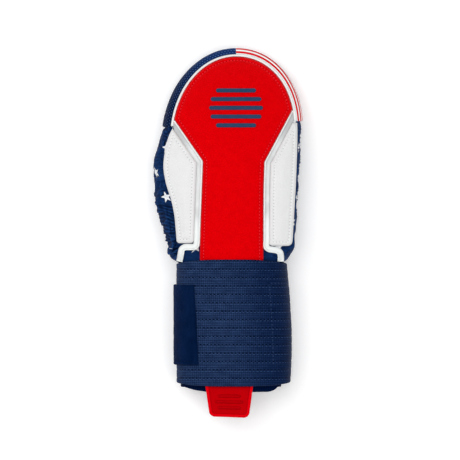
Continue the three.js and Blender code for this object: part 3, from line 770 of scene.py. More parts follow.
def lining_cloth():
    look = Look("lining", rough=0.85, sheen=0.3, specular=0.2, tint=navy_sheen)
    cloudy = look.noise(look.spot(0.02), 2.5, 4.0)
    relief, normal = weave(look, 0.9, 0.5, 0.12)
    return look.finish(look.mix(relief * 0.45 + cloudy * 0.55, (8, 14, 32), (22, 32, 60)), normal)


def cuff_cloth():
    look = Look("cuff_knit", rough=0.9, sheen=0.05, specular=0.2, tint=navy_sheen)
    u, v = look.cut()
    rib = look.wave(u, 1.9)
    relief = look.wave(v + rib * 0.4, 1.1) * 0.3 + rib
    cloudy = look.noise(look.spot(0.02), 2.5, 4.0)
    colour = look.mix(relief * 0.4 + cloudy * 0.35, (0, 9, 34), (6, 27, 68))
    return look.finish(colour, look.bump(relief, 0.6, 0.25))


def leather(name, dark, pale, rough, cell, depth):
    look = Look(name, rough=rough, specular=0.3, tint=pale)
    inputs = {"Vector": look.spot(), "Scale": 1.0 / cell, "Randomness": 1.0}
    edge = look.read("ShaderNodeTexVoronoi", "Distance", inputs, feature="DISTANCE_TO_EDGE")
    pebble = look.band(edge, 0.0, 0.35)
    mottle = look.noise(look.spot(0.1), 2.0, 5.0)
    grain = look.noise(look.spot(1.0), 1.5, 3.0, 0.65)
    shade = pebble * 0.15 + (mottle * 0.2 + grain * 0.65)
    normal = look.bump(grain, 0.25, depth * 0.6, look.bump(pebble, 0.35, depth))
    return look.finish(look.mix(look.band(shade, 0.3, 0.75), dark, pale), normal, grain * 0.2 + (rough - 0.1))


def rail_rubber():
    look = Look("rail_rubber", rough=0.45, coat=0.1, specular=0.35)
    # u runs from 0 at the white panel to 1 at the red one, v from the head to the strap
    u, v = look.cut()
    # paler streaks along the channel: painted glossy highlights
    gloss_streak = look.noise(look.on_cut(0.2, 0.02), 1.7, 2.0)
    channel = look.mix(look.band(gloss_streak, 0.3, 0.7), (196, 198, 198), (218, 220, 220))
    # darker in the upper, slanting stretch, where it turns from the light
    channel = look.mix(look.fade(v, 22.0, 46.0) * 0.75, channel, (176, 178, 179))
    channel = look.mix(look.band(v, 122.0, 150.0) * 0.8, channel, (234, 238, 237))
    # painted shade along the edge beside the white panel
    channel = look.mix(look.fade(u, 0.02, 0.35) * 0.3, channel, (160, 162, 163))
    colour = look.mix(look.band(u, 0.72, 0.78), channel, (236, 242, 241))
    speck = look.noise(look.spot(1.0), 2.0, 2.0)
    return look.finish(colour, look.bump(speck, 0.08, 0.08), speck * 0.15 + 0.38)


def piping_cloth():
    look = Look("piping_cloth", rough=0.75, sheen=0.2, specular=0.3)
    u, v = look.cut()
    twist = look.wave(v + u * 1.4, 0.8)
    return look.finish(look.mix(twist, (228, 234, 233), (248, 250, 249)), look.bump(twist, 0.5, 0.1))


def guard_net():
    look = Look("guard_net", rough=0.8, sheen=0.05, specular=0.2, tint=navy_sheen)
    u, v = look.cut()
    pitch, row_pitch = 2.6, 2.1
    row = u / row_pitch
    index = round(row)
    du = (row - index) * (row_pitch * 1.25)
    cell = (v + (index + 40.0) % 2.0 * (pitch / 2)) / pitch
    dv = (cell - round(cell)) * (pitch * 0.85)
    dot = look.fade(look.math("SQRT", du * du + dv * dv), 0.28, 0.46)
    cloudy = look.noise(look.spot(0.03), 2.0, 3.0)
    twill = look.wave(u + v, 0.6)
    # darker down the side of the hand, where the guard turns from the light, paler towards the fingertips:
    # painted shade, with the dots fainter in it
    x, _ = look.parts(look.spot())
    tip = look.band(x, -62.0, 4.0)
    dark = look.mix(tip, (1, 8, 30), (10, 34, 78))
    pale = look.mix(tip, (4, 20, 52), (24, 56, 110))
    ground = look.mix(twill * 0.4 + cloudy * 0.6, dark, pale)
    colour = look.mix(dot * (tip * 0.4 + 0.42), ground, (108, 140, 196))
    return look.finish(colour, look.bump(twill * 0.3 - dot, 0.5, 0.2))


def guard_stripes():
    look = Look("guard_stripes", rough=0.6, sheen=0.05, specular=0.15)
    # u is the way round from the upper seam
    u, v = look.cut()
    first = look.band(u, 1.5, 1.65) * look.fade(u, 3.3, 3.45)
    rest = (u - 4.9) % 5.2
    later = look.band(rest, 0.0, 0.15) * look.fade(rest, 3.0, 3.15) * look.band(u, 4.8, 4.9)
    twill = look.wave(u * 1.3 + v, 1.7)
    cloudy = look.noise(look.spot(0.03), 2.0, 3.0)
    white = look.mix(twill * look.fade(u, 1.5, 1.8), (240, 245, 244), (206, 217, 216))
    red = look.mix(cloudy, (196, 0, 14), (222, 8, 26))
    colour = look.mix(look.math("ADD", first, later, clamp=True), white, red)
    return look.finish(colour, look.bump(twill, 0.35, 0.12))


def strap_elastic():
    look = Look("strap_elastic", rough=0.78, sheen=0.06, specular=0.2, tint=navy_sheen)
    # v is 0 at the edge nearest the hand and falls towards the cuff
    u, v = look.cut()
    rib = look.wave(v, strap_line_pitch / 5)
    thread = look.wave(u, 1.5)
    # dashed lines along the strap, each with a paler line under it that is a painted highlight on the weave
    # below the dash
    line = (v + strap_line) / strap_line_pitch
    index = round(line)
    off = (line - index) * strap_line_pitch
    loose = look.noise(look.on_cut(0.5, 0.5), 1.0, 2.0)
    dash = (u + (index + 40.0) % 2.0 * 1.1 + loose) / 2.8
    dash = abs(dash - round(dash))
    gap = look.fade(dash - (loose * 0.5 - 0.05), -0.06, 0.06)
    dashes = look.fade(abs(off), 0.26, 0.66) * gap
    dash_highlight = look.fade(abs(off + 0.95), 0.15, 0.5) * gap
    # a patchy grid of ribs and threads
    patchy = look.noise(look.on_cut(0.12, 0.25), 1.0, 3.0, 0.6)
    mottle = look.noise(look.on_cut(0.8, 1.3), 0.9, 3.0, 0.7)
    cloudy = look.noise(look.spot(0.012), 2.2, 4.0)
    grid = (rib * 0.64 + thread * 0.36) * (patchy * 1.2 + 0.2)
    shade = look.band(grid * 0.5 + (mottle * 0.36 + cloudy * 0.14), 0.16, 0.84)
    ground = look.mix(shade, (1, 13, 42), (50, 72, 112))
    # darker from the right side on: partly the doubled end, which is sewn down, and partly painted shade
    # where the strap turns from the light
    doubled_end_and_shade = look.mix(shade, (1, 12, 40), (20, 42, 82))
    # painted shade of the strap's right side, over its doubled end
    ground = look.mix(look.fade(u, 20.0, 74.0) * 0.9, ground, doubled_end_and_shade)
    # painted highlight under each dash
    ground = look.mix(dash_highlight * 0.45, ground, (62, 86, 128))
    beside = u - (v * seam_lean + seam_start)
    upright = look.fade(abs(beside), 0.3, 0.6) * look.band(v, -84.0, -82.0) * look.fade(v, -19.5, -18.5)
    level = look.fade(abs(v + 18.9), 0.3, 0.6) * look.fade(beside, -0.4, 0.4)
    seam = look.math("MAXIMUM", upright * look.band(look.wave(v, 3.1), 0.4, 0.6),
                     level * look.band(look.wave(u, 3.1), 0.4, 0.6))
    ground = look.mix(seam * 0.2, ground, (70, 92, 132))
    relief = thread * 0.4 + rib - dashes * 1.4
    return look.finish(look.mix(dashes * 0.95, ground, (0, 6, 26)), look.bump(relief, 0.65, 0.25))


def napped_cloth():
    look = Look("napped_cloth", rough=0.95, sheen=0.08, specular=0.15, tint=navy_sheen)
    fuzz = look.noise(look.spot(1.0), 2.6, 5.0, 0.7)
    cloudy = look.noise(look.spot(0.05), 2.0, 3.0)
    colour = look.mix(look.band(fuzz * 0.65 + cloudy * 0.35, 0.3, 0.7), (1, 16, 44), (10, 32, 70))
    return look.finish(colour, look.bump(fuzz, 0.9, 0.5))


def moulded(name, dark, pale, rough):
    look = Look(name, rough=rough, specular=0.3, tint=pale)
    mottle = look.noise(look.spot(0.1), 2.2, 4.0)
    speck = look.noise(look.spot(1.0), 4.0, 2.0)
    colour = look.mix(speck * 0.35 + mottle * 0.65, dark, pale)
    return look.finish(colour, look.bump(speck, 0.22, 0.07), speck * 0.22 + (rough - 0.1))


def pull_rubber():
    look = Look("pull_rubber", rough=0.45, specular=0.2, tint=(255, 20, 20))
    # d is the way in from the edge
    d, _ = look.cut()
    mottle = look.noise(look.spot(0.1), 2.2, 4.0)
    speck = look.noise(look.spot(1.0), 1.2, 2.0)
    middle = look.mix(speck * 0.5 + mottle * 0.5, (160, 0, 6), (192, 0, 10))
    colour = look.mix(look.band(d, 1.7, 2.7), (214, 0, 14), middle)
    return look.finish(colour, look.bump(speck, 0.2, 0.1), speck * 0.2 + 0.3)


def thread(name, dark, pale, specular=0.3, sheen=0.1):
    look = Look(name, rough=0.7, sheen=sheen, specular=specular, tint=pale)
    u, _ = look.cut()
    twist = look.wave(u, 0.5)
    return look.finish(look.mix(twist, dark, pale), look.bump(twist, 0.5, 0.08))


looks = {
    "star": star_cloth(),
    "lining": lining_cloth(),
    "cuff": cuff_cloth(),
    "palm": leather("palm_leather", (10, 24, 58), (24, 44, 88), 0.6, 1.3, 0.12),
    "red": leather("red_leather", (196, 0, 4), (232, 1, 9), 0.5, 1.1, 0.06),
    "white": leather("white_leather", (217, 217, 218), (228, 228, 228), 0.45, 1.0, 0.05),
    "rail": rail_rubber(),
    "piping": piping_cloth(),
    "net": guard_net(),
    "stripes": guard_stripes(),
    "strap": strap_elastic(),
    "tab": napped_cloth(),
    "pull": pull_rubber(),
    "rib": moulded("rib_rubber", (30, 54, 82), (50, 76, 106), 0.45),
    "red_thread": thread("red_thread", (214, 22, 34), (242, 66, 78)),
    "white_thread": thread("white_thread", (226, 227, 228), (250, 250, 250)),
    "navy_thread": thread("navy_thread", (12, 26, 60), (34, 52, 92)),
    "dark_thread": thread("dark_thread", (0, 8, 30), (6, 20, 50), 0.1, 0.0),
    # needle holes: the grey and the dark red are painted shade in them
    "hole_shade": moulded("needle_hole_shade", (140, 140, 143), (168, 168, 171), 0.9),
    "red_hole_shade": moulded("red_needle_hole_shade", (96, 0, 8), (124, 0, 10), 0.9),
}

# Sleeve and cuff


def buckle(points, pinned, slack, frames=26):
    """Moves of a (rows, columns, 3) cloth that is cut larger than its frame and held where pinned.

    slack is 0 where it is cut a little larger and 1 where it is gathered most.
    """
    rows, columns = points.shape[:2]
    scale = 0.01
    ids = np.arange(rows * columns).reshape(rows, columns)
    faces = np.stack([ids[:-1, :-1], ids[:-1, 1:], ids[1:, 1:], ids[1:, :-1]], -1).reshape(-1, 4)
    mesh = bpy.data.meshes.new("work_cloth")
    mesh.from_pydata((points.reshape(-1, 3) * scale).tolist(), [], faces.tolist())
    work = bpy.data.objects.new("work_cloth", mesh)
    bpy.context.scene.collection.objects.link(work)
    for name, weights in (("pin", pinned), ("slack", slack)):
        group = work.vertex_groups.new(name=name)
        for level in np.unique(np.round(weights, 1)):
            chosen = ids[np.isclose(np.round(weights, 1), level)]
            group.add(chosen.tolist(), float(level), "REPLACE")
    cloth = work.modifiers.new("cloth", "CLOTH")
    how = cloth.settings
    how.quality = 7
    how.mass = 0.2
    how.air_damping = 3
    how.tension_stiffness = how.compression_stiffness = 25
    how.shear_stiffness = 12
    how.bending_stiffness = 0.15
    how.vertex_group_mass = "pin"
    how.vertex_group_shrink = "slack"
    how.shrink_min = -0.06
    how.shrink_max = -0.22
    how.use_pressure = True
    how.uniform_pressure_force = 0.12
    how.effector_weights.gravity = 0
    cloth.collision_settings.use_collision = False
    cloth.point_cache.frame_start = 1
    cloth.point_cache.frame_end = frames
    for k in range(1, frames + 1):
        bpy.context.scene.frame_set(k)
    seen = work.evaluated_get(bpy.context.evaluated_depsgraph_get()).to_mesh()
    found = np.empty(rows * columns * 3)
    seen.vertices.foreach_get("co", found)
    bpy.data.objects.remove(work)
    bpy.context.scene.frame_set(1)
    return found.reshape(rows, columns, 3) / scale - points


def settle(outer, normal):
    """Simulated folds of the sleeve's two side walls, as moves of its outer rings."""
    moves = np.zeros_like(outer)
    plate, wall = sleeve_columns
    left_wall = plate // 2 + 1
    left_seam = left_wall + wall - 2
    right_wall = left_seam + plate
    patches = {
        -1: np.arange(left_wall - 7, left_seam + 24),
        1: np.arange(right_wall - 20, right_wall + wall - 2 + 7),
    }
    row_y = outer[:, left_seam, 1]
    for side, columns in patches.items():
        every = np.nonzero((row_y > -4) & (row_y < guard_end[side] + 1.5))[0]
        rows = np.unique(np.append(every[::2], every[-1]))
        patch = outer[np.ix_(rows, columns)]
        x, y, z = patch[..., 0], patch[..., 1], patch[..., 2]
        # held under the panels, the rails, the strap and the guard, and at the patch's edges
        bottom, top = (along(at) for at in wing_rows[side])
        on_back = z > 20
        under_panel = (side * (wing_edge(y, side) - x) > 0.6) & (y > bottom + 0.5) & (y < top) & on_back
        under_rail = (y < bottom + 1) & (np.abs(x) < palm_half * 0.82) & on_back
        pinned = under_panel | under_rail | (y < 0.4) | (y > guard_end[side] - 0.6)
        pinned[:, :2] = pinned[:, -2:] = True
        slack = 0.5 * ramp(y, 14, 6)
        if side < 0:
            slack = np.maximum(ramp(y, 10, 16) * ramp(y, 52, 46), slack)
        found = buckle(patch, pinned.astype(float), slack)
        # the folds stay and the swelling under them goes
        up = normal[np.ix_(rows, columns)]
        height = (found * up).sum(-1)
        folds = 1.4 * np.tanh(1.3 * (height - blur(height, 5.5, 4)) / 1.4)
        slide = found - up * height[..., None]
        slide *= np.minimum(1, 0.8 / np.maximum(np.linalg.norm(slide, axis=-1, keepdims=True), 1e-6))
        lower = levels(y)[4]
        free = (1.0 - pinned) * np.clip((z - lower) / 4, 0, 1) * (1 if side < 0 else 0.8)
        found = (up * folds[..., None] + slide) * (blur(free, 1.2, 1.0) * free)[..., None]
        for k, column in enumerate(columns):
            for axis in range(3):
                moves[every, column, axis] += np.interp(every, rows, found[:, k, axis])
    return moves


def plate_steps(count):
    t = np.linspace(0, 1, count)
    return 0.5 * t + 0.25 - 0.25 * np.cos(math.pi * t)


def sleeve_ring(y, inset, plate, wall):
    """Rings from the middle of the palm, up the left wall, over the back and down the right one."""
    y = np.asarray(y, float)[:, None]
    left, right = seam_at(y, -1, inset), seam_at(y, 1, inset)

    def lift(x):
        """The mouth's edge draws in towards its corners."""
        t = across(x, y, inset)
        power = np.where(t < 0, cuff_curve[-1], cuff_curve[1])
        return cuff_corner * np.abs(t) ** power * ramp(-share(y), cuff_from, 1)

    def flat(t, height):
        x = left + (right - left) * t
        return np.stack([x, y + lift(x), height(x, y, inset)], -1)

    def side_wall(side, turn):
        p = wall_at(y, side, turn, inset)
        p[..., 1] += lift(p[..., 0])
        return p

    steps = plate_steps(plate)
    half = plate // 2
    turns = np.linspace(1, -1, wall)[1:-1][None, :]
    return np.concatenate([
        flat(steps[: half + 1][::-1][None, :], palm_at),
        side_wall(-1, turns[:, ::-1]),
        flat(steps[None, :], back_at),
        side_wall(1, turns),
        flat(steps[::-1][None, :half], palm_at),
    ], axis=1)


def ring_coords(rings, plate, wall):
    """Way round each ring from the middle of the back, and the height of each row."""
    closed = np.concatenate([rings, rings[:, :1]], axis=1)
    steps = np.linalg.norm(np.diff(closed, axis=1), axis=-1)
    run = np.concatenate([np.zeros((len(rings), 1)), np.cumsum(steps, axis=1)], axis=1)
    middle = plate // 2 + 1 + wall - 2 + plate // 2
    return np.stack([run - run[:, middle : middle + 1], closed[..., 1]], -1)


def hand_rows(inset, count, head):
    straight = np.linspace(along(0.012), head_join, count)[:-1]
    return np.concatenate([straight, head_join + (hand_length - inset - head_join) * quarter(head)])


def hollow(name, outer, inner, coords, inner_coords, ends, rim_slot, look):
    """A wall between two sets of rings, closed by a rim at the given rows."""
    skin = Skin()
    a = skin.tube(outer, coords)
    b = skin.tube(inner, inner_coords, slot=1)
    zero = np.zeros((a.shape[1], 2))
    for k in ends:
        skin.quads((b[k], np.roll(b[k], -1), np.roll(a[k], -1), a[k]), (zero,) * 4, rim_slot)
    return skin.build(name, look, looks["lining"], sharp=40)


def gathers(rings, coords):
    """Folds and puckers of the sleeve's cloth, as a height out of its surface."""
    x, y, z = rings[..., 0], rings[..., 1], rings[..., 2]
    run = coords[:, :-1, 0]
    _, _, _, upper, lower = levels(y)
    on_back = z > (upper + lower) / 2
    # the cloth lies flat under the white panels
    bare = {}
    for side in (-1, 1):
        beyond = (side * (x - wing_edge(y, side))) / 2.2 + 0.15
        bare[side] = np.where(on_back, np.clip(beyond, 0, 1), 1)
    wide = noise(y + 0.2 * run, run * 0.35, 9.5, 13)
    soft = noise(y, run * 0.4, 15, 14)
    crease = -bell(noise(y + 0.5 * run, run * 0.8, 9, 23), 0.13)
    crease -= 0.6 * bell(noise(y - 0.4 * run, run, 13, 24), 0.08)
    # gathered hard beside the thumb, in tucks that step in towards the strap
    band = ramp(y, 11, 16) * ramp(y, 50, 46)
    shirr = ridge(y + 0.22 * run + 1.6 * noise(run, y, 9, 16), 2.6) * (0.65 + 0.35 * noise(run, y, 5, 17))
    ends = np.array([-3, 3.5, 8, 14.5, 21.9, 27.5, 37.1, 43.5, 49.9, 60])
    wavy = np.clip(y + 1.3 * noise(run, y, 11, 19), ends[0] + 1e-6, ends[-1] - 1e-6)
    k = np.searchsorted(ends, wavy)
    t = (ends[k] - wavy) / (ends[k] - ends[k - 1])
    tuck = (t * ease(np.clip((1 - t) / 0.16, 0, 1)) - 0.4) * ramp(y, 60, 48)
    left = np.clip((seam_at(y, -1) + 9 - x) / 9, 0, 1) * bare[-1] * (
        0.6 * band * shirr + 1.5 * tuck + 0.8 * crease * (1 - 0.6 * band) + 0.5 * wide + 0.3 * soft
        - 1.2 * bell(y - 93, 9) - 1.3 * bell(y - 1.5, 4))
    # a fine frill on the other side
    frill = ridge(y + 0.2 * run + 1.5 * noise(run, y, 6.5, 26), 2.5) * ramp(y, 24, 38)
    right = np.clip((x - seam_at(y, 1) + 3) / 4, 0, 1) * bare[1] * (
        0.45 * frill + 0.5 * crease + 0.2 * wide + 0.15 * soft - 0.25)
    # slack cloth between the panels and the strap
    loose = on_back * ramp(y, 14, 9) * (np.abs(x) > 30) * (1 - np.where(x < 0, bare[-1], bare[1]))
    between = loose * (0.8 * crease + 0.4 * wide + 0.3 * shirr) * ramp(y, -4, 0)
    hem = np.clip((z - lower) / 4, 0, 1)
    return (left + right) * hem * ramp(y, -2, 4) + between


def build_sleeve():
    wrist = [-cuff_seam, -50, -31, -12, -6, -3, -1]
    outer = sleeve_ring(np.concatenate([wrist, hand_rows(0, 240, 60)]), 0, *sleeve_columns)
    inner_rows = np.concatenate([wrist, hand_rows(sleeve_wall, 70, 28)])
    inner = sleeve_ring(inner_rows, sleeve_wall, *sleeve_columns)
    coords = ring_coords(outer, *sleeve_columns)
    normal = outward(outer)
    height = gathers(outer, coords)
    height[-12:] *= np.linspace(1, 0, 12)[:, None]
    moves = settle(outer, normal)
    outer = outer + normal * height[..., None] + moves
    piece = hollow("sleeve_cloth", outer, inner, coords, ring_coords(inner, *sleeve_columns), (0,), 1,
                   looks["star"])
    dress(piece, "sleeve", slot="star_fabric")


def build_cuff():
    columns = (150, 40)
    rows = np.concatenate([
        -wrist_length + np.array([0, 0.25, 0.8]),
        np.linspace(-wrist_length + 1.6, -cuff_seam - seat, 40),
    ])
    # the two faces draw together at the mouth
    inward = np.concatenate([[1.1, 0.35, 0.05], np.zeros(40)])
    outer, inner = (
        np.concatenate([sleeve_ring([y], inset, *columns) for y, inset in zip(rows, insets)])
        for insets in (inward, sleeve_wall - inward)
    )
    coords = ring_coords(outer, *columns)
    y = outer[..., 1]
    ripple = 0.25 * noise(coords[:, :-1, 0], y * 0.3, 6.0, 21)
    hem = bell(y + wrist_length - 7.5, 1.1)
    outer = outer + outward(outer) * (ripple * ramp(y, -72, -76) - 0.4 * hem)[..., None]
    piece = hollow("cuff_knit", outer, inner, coords, ring_coords(inner, *columns), (0, -1), 0, looks["cuff"])
    dress(piece, "cuff", slot="cuff_fabric")


# Padded panels


def pad_profile(thickness, d, stitch, rim=0.6, turn=2.0, groove=0.45, puff=0.5):
    """Height of a padded leather panel at d millimetres inside its edge."""
    rise = thickness * (rim + (1 - rim) * dome(d / turn))
    swell = puff * (1 - np.exp(-np.maximum(d - stitch, 0) / 7.0))
    welt = 0.12 * bell(d - stitch * 0.5, 1.0)
    return rise - groove * bell(d - stitch, 0.85) + swell + welt


def outline_of(bottom, top, left, right, step=0.45):
    """A closed outline from two side functions of y, with points close together."""
    fine = np.linspace(bottom, top, 1400)
    a = np.stack([left(fine), fine], -1)
    b = np.stack([right(fine), fine], -1)[::-1]
    return spaced(np.concatenate([a, b, a[:1]]), step)


def pad_faces(rows, left, right, columns, low, high):
    """Upper and lower face of a pad between two side functions of y."""
    x = left(rows)[:, None] + (right(rows) - left(rows))[:, None] * columns[None, :]
    y = np.broadcast_to(rows[:, None], x.shape)
    return np.stack([x, y, high(x, y)], -1), np.stack([x, y, low(x, y)], -1)


def build_pad(name, rows, left, right, columns, low, high, look):
    ring = sheet_ring(*pad_faces(rows, left, right, columns, low, high))
    skin = Skin()
    skin.tube(ring, ring[..., :2], half=len(columns))
    return skin.build(name, look)


def inner_line(outline, distance, keep):
    """The line that runs a distance inside an outline, where keep(x, y) allows it."""
    closed = outline[:-1] if np.allclose(outline[0], outline[-1]) else outline
    run = unit(np.roll(closed, -3, axis=0) - np.roll(closed, 3, axis=0))
    area = 0.5 * (closed[:, 0] * np.roll(closed[:, 1], -1) - np.roll(closed[:, 0], -1) * closed[:, 1]).sum()
    inwards = np.stack([-run[:, 1], run[:, 0]], -1) * (1 if area > 0 else -1)
    line = closed + inwards * distance
    good = (near(line, closed) > distance * 0.93) & keep(line[:, 0], line[:, 1])
    if good.all():
        return [np.concatenate([line, line[:1]])]
    start = int(np.argmin(good))
    parts, part = [], []
    for p, ok in zip(np.roll(line, -start, axis=0), np.roll(good, -start)):
        if part and np.linalg.norm(p - part[-1]) > distance * 2.5:
            parts.append(part)
            part = []
        if ok:
            part.append(p)
    parts.append(part)
    return [np.array(p) for p in parts if len(p) > 8]


def stitch_pieces(name, lines, lift, look, hole_shade, slot, length=1.75, radius=0.26):
    """Threads along lines, and between them dark sunken pieces that paint the shade in the needle holes."""
    pitch = 2.56
    threads, hole_shades = Skin(), Skin()
    for line in lines:
        mid, runs, ups = sew(line, lift, pitch, length)
        capsules(threads, mid + ups * 0.05, runs, ups, length, radius)
        step = np.concatenate([mid[1:], mid[-1:] + runs[-1:] * pitch])
        # painted shade: dark pieces sunk where the needle holes are
        capsules(hole_shades, (mid + step) / 2 - ups * 0.12, runs, ups, 0.75, 0.3, dip=0.0)
    dress(threads.build(f"{name}_thread", look, sharp=70), slot=slot)
    dress(hole_shades.build(f"{name}_holes", hole_shade, sharp=70), slot=slot)


red_edges = (lambda y: panel_edge(y, -1), lambda y: panel_edge(y, 1))
red_outline = outline_of(-panel_tail, hand_length - panel_inset, *red_edges)


def red_high(x, y):
    d = near(together(x, y), red_outline)
    calm = ramp(np.asarray(y), -3, 9)
    swell = 0.25 * noise(x, y, 26, 31) + 0.1 * noise(x, y, 9, 32)
    pad = pad_profile(panel_thickness, d, red_stitch) - (1 - calm) * 0.6 + calm * swell * np.clip(d / 8, 0, 1)
    return back_at(x, y) + seat + pad


def build_red_panel():
    head = along(0.7)
    rows = np.concatenate([
        np.linspace(-panel_tail, -6, 24)[:-1],
        np.linspace(-6, head, 120)[:-1],
        head + (hand_length - panel_inset - head) * quarter(90),
    ])
    piece = build_pad("red_panel", rows, *red_edges, edge_steps(104), lambda x, y: back_at(x, y) + 0.1,
                      red_high, looks["red"])
    dress(piece, "back_panel", slot="red_leather")
    lines = inner_line(red_outline, red_stitch, lambda x, y: y > -2)
    stitch_pieces("red_panel", lines, red_high, looks["red_thread"], looks["red_hole_shade"], "red_leather",
                  length=1.3, radius=0.38)


def rail_line(side, count):
    """The rail's middle: beside the red panel, then out in steps towards the strap."""
    upper = along(rail_top[side])
    waist_y = along(waist_top[side])
    ys = np.array([
        *[upper + (waist_y + 3 - upper) * k / 6 for k in range(7)],
        *[waist_y + d for d in (2, 1, 0, -1, -2.5)],
        *[(waist_y - 6) + (along(0.1) - waist_y + 6) * k / 8 for k in range(9)],
    ])
    bend = panel_edge(ys + 0.5, side) - panel_edge(ys - 0.5, side)
    off = seat + rail_width / 2
    size = np.hypot(1, bend)
    beside = np.stack([panel_edge(ys, side) + side / size * off, ys - side * bend / size * off], -1)
    outwards = [(side * x * palm_half, along(at)) for x, at in RAIL_STEPS[side]]
    return catmull(np.concatenate([beside, outwards]), count)


def rail_outer(side):
    """x of the rail's outer edge, as a function of y."""
    points = rail_line(side, 260)
    run = runs_of(points)
    out = rail_width / 2 + seat * 0.7
    x = points[1:-1, 0] - side * run[1:-1, 1] * out
    y = points[1:-1, 1] + side * run[1:-1, 0] * out
    order = np.argsort(y)
    return lambda at: np.interp(at, y[order], x[order])


# Columns: way across from the white panel to the red one, height
RAIL_SECTION = np.array([
    (-2.6, -0.4), (-2.6, 0.9), (-2.5, 1.2), (-2.3, 1.38), (-1.9, 1.42), (-1.3, 1.3),
    (-0.6, 1.22), (0.1, 1.25), (0.7, 1.38), (1.05, 1.62), (1.22, 2.0), (1.4, 2.4),
    (1.62, 2.62), (1.95, 2.66), (2.25, 2.5), (2.45, 2.2), (2.55, 1.9), (2.55, 0.8), (2.55, -0.4),
])


def build_rail(side):
    """A moulded channel: a rim beside the red panel, a shallow trough and a lower lip."""
    points = rail_line(side, 240)
    run = runs_of(points)
    t = np.linspace(0, 1, len(points))[:, None]
    taper = np.clip(t / 0.035, 0.4, 1) * np.clip((1 - t) / 0.05, 0.5, 1)
    reach, height = RAIL_SECTION.T[:, None, :]
    s = reach * np.where(reach < 0, np.clip(t / 0.05, 0.45, 1), 1) * side
    up = np.where(height > 0, height * taper, height)
    x = points[:, None, 0] + run[:, None, 1] * s
    y = points[:, None, 1] - run[:, None, 0] * s
    ring = np.stack([x, y, back_at(x, y) + seat + up], -1)
    coords = together((reach + 2.6) / 5.15, t * 200.0)
    # the last point sits under the first, so that the ladder closes the ends
    ring = np.concatenate([ring, ring[:, [-1, 0]].mean(axis=1, keepdims=True)], axis=1)
    coords = np.concatenate([coords, coords[:, -1:]], axis=1)
    skin = Skin()
    skin.tube(ring, coords, half=ring.shape[1] // 2)
    name = side_names[side]
    piece = skin.build(f"rail_{name}_moulding", looks["rail"], sharp=60)
    dress(piece, f"rail_{name}", slot="rail_rubber")


def build_wing(side):
    """A white panel with rounded lower corners, between the rail and the side wall."""
    bottom, top = (along(at) for at in wing_rows[side])
    corner = 2.4
    sharp_edges = (lambda y: wing_edge(y, side), rail_outer(side))[::-side]

    def rounding(y):
        return corner * (1 - np.sqrt(1 - ramp(y, bottom + corner, bottom) ** 2))

    edges = (lambda y: sharp_edges[0](y) + rounding(y), lambda y: sharp_edges[1](y) - rounding(y))
    outline = outline_of(bottom, top, *edges, 0.35)

    def high(x, y):
        d = near(together(x, y), outline)
        swell = 0.3 * noise(x, y, 22, 41 + side) * np.clip(d / 8, 0, 1)
        return back_at(x, y) + seat + pad_profile(wing_thickness, d, wing_stitch, 0.42, 2.9, 0.3, 0.8) + swell

    t = np.linspace(0, 1, 170)
    rows = bottom + (top - bottom) * ((0.5 - 0.5 * np.cos(math.pi * t)) * 0.35 + t * 0.65)
    rows = np.concatenate([bottom + np.array([0, 0.05, 0.15, 0.3, 0.5]), rows[rows > bottom + 0.7]])
    name = side_names[side]
    piece = build_pad(f"white_panel_{name}", rows, *edges, edge_steps(64, 1.6),
                      lambda x, y: back_at(x, y) + 0.1, high, looks["white"])
    dress(piece, f"wing_{name}", slot="white_leather")
    lines = inner_line(outline, wing_stitch, lambda x, y: (y > bottom + corner) & (y < top - corner))
    stitch_pieces(f"white_panel_{name}", lines, high, looks["white_thread"], looks["hole_shade"], "white_leather")


def build_palm():
    edges = (lambda y: seam_at(y, -1, palm_margin), lambda y: seam_at(y, 1, palm_margin))
    rows = np.concatenate([
        palm_end + np.array([0, 0.3, 0.8, 1.5]),
        np.linspace(palm_end + 2.4, head_join, 70)[:-1],
        head_join + (hand_length - palm_margin - head_join) * quarter(60, stop=math.pi * 0.495),
    ])
    outline = outline_of(palm_end, rows[-1], *edges)

    def low(x, y):
        curl = ramp(np.abs(across(x, y)), palm_flat, 1) ** palm_curl
        _, palm, crown, _, _ = levels(y)
        thick = palm_thickness * (1 - 0.45 * curl)
        d = near(together(x, y), outline)
        rise = thick * 0.45 * (1 - dome(d / 2.6))
        return palm - seat - thick + crown * curl * 0.9 + rise + 0.45 * bell(d - palm_stitch, 0.85)

    piece = build_pad("palm_pad_leather", rows, *edges, edge_steps(84), low,
                      lambda x, y: palm_at(x, y) - 0.1, looks["palm"])
    dress(piece, "palm_pad", slot="palm_leather")
    threads = Skin()
    for line in inner_line(outline, palm_stitch, lambda x, y: y > palm_end + 2):
        mid, runs, ups = sew(line, low, 3.2, 2.3)
        capsules(threads, mid - ups * 0.02, runs, -ups, 2.3, 0.24)
    dress(threads.build("palm_pad_thread", looks["navy_thread"], sharp=70), slot="palm_leather")


# Piping, guard, strap and tabs


def blunt(length, nose):
    """1 along a cord, and less towards its two ends."""
    return np.minimum(1, np.minimum(length + 0.3, length[-1] - length + 0.3) / nose)


def build_binding():
    """A thin bound edge where the side walls meet the palm."""
    step, radius, sides = 1.1, 0.85, 12
    y = 6 + (hand_length - 6) * quarter(150)
    left, right = (wall_at(y, side, np.full_like(y, -0.97), 0, 0.1) for side in (-1, 1))
    points = spaced(np.concatenate([left, right[::-1][1:]]), step)
    run = runs_of(points)
    side = unit(np.cross(run, [0, 0, 1.0]))
    up = np.cross(side, run)
    angle = np.linspace(0, 2 * math.pi, sides, endpoint=False)
    length = np.arange(len(points)) * step
    size = (radius * blunt(length, 1.4) * (1 + 0.05 * np.sin(length * 2.2)))[:, None, None]
    turned = np.cos(angle)[None, :, None] * side[:, None, :] + np.sin(angle)[None, :, None] * up[:, None, :]
    skin = Skin()
    skin.tube(points[:, None, :] + size * turned, together(angle * radius, length[:, None]), half=sides // 2)
    dress(skin.build("palm_binding", looks["palm"], sharp=70), slot="palm_leather")


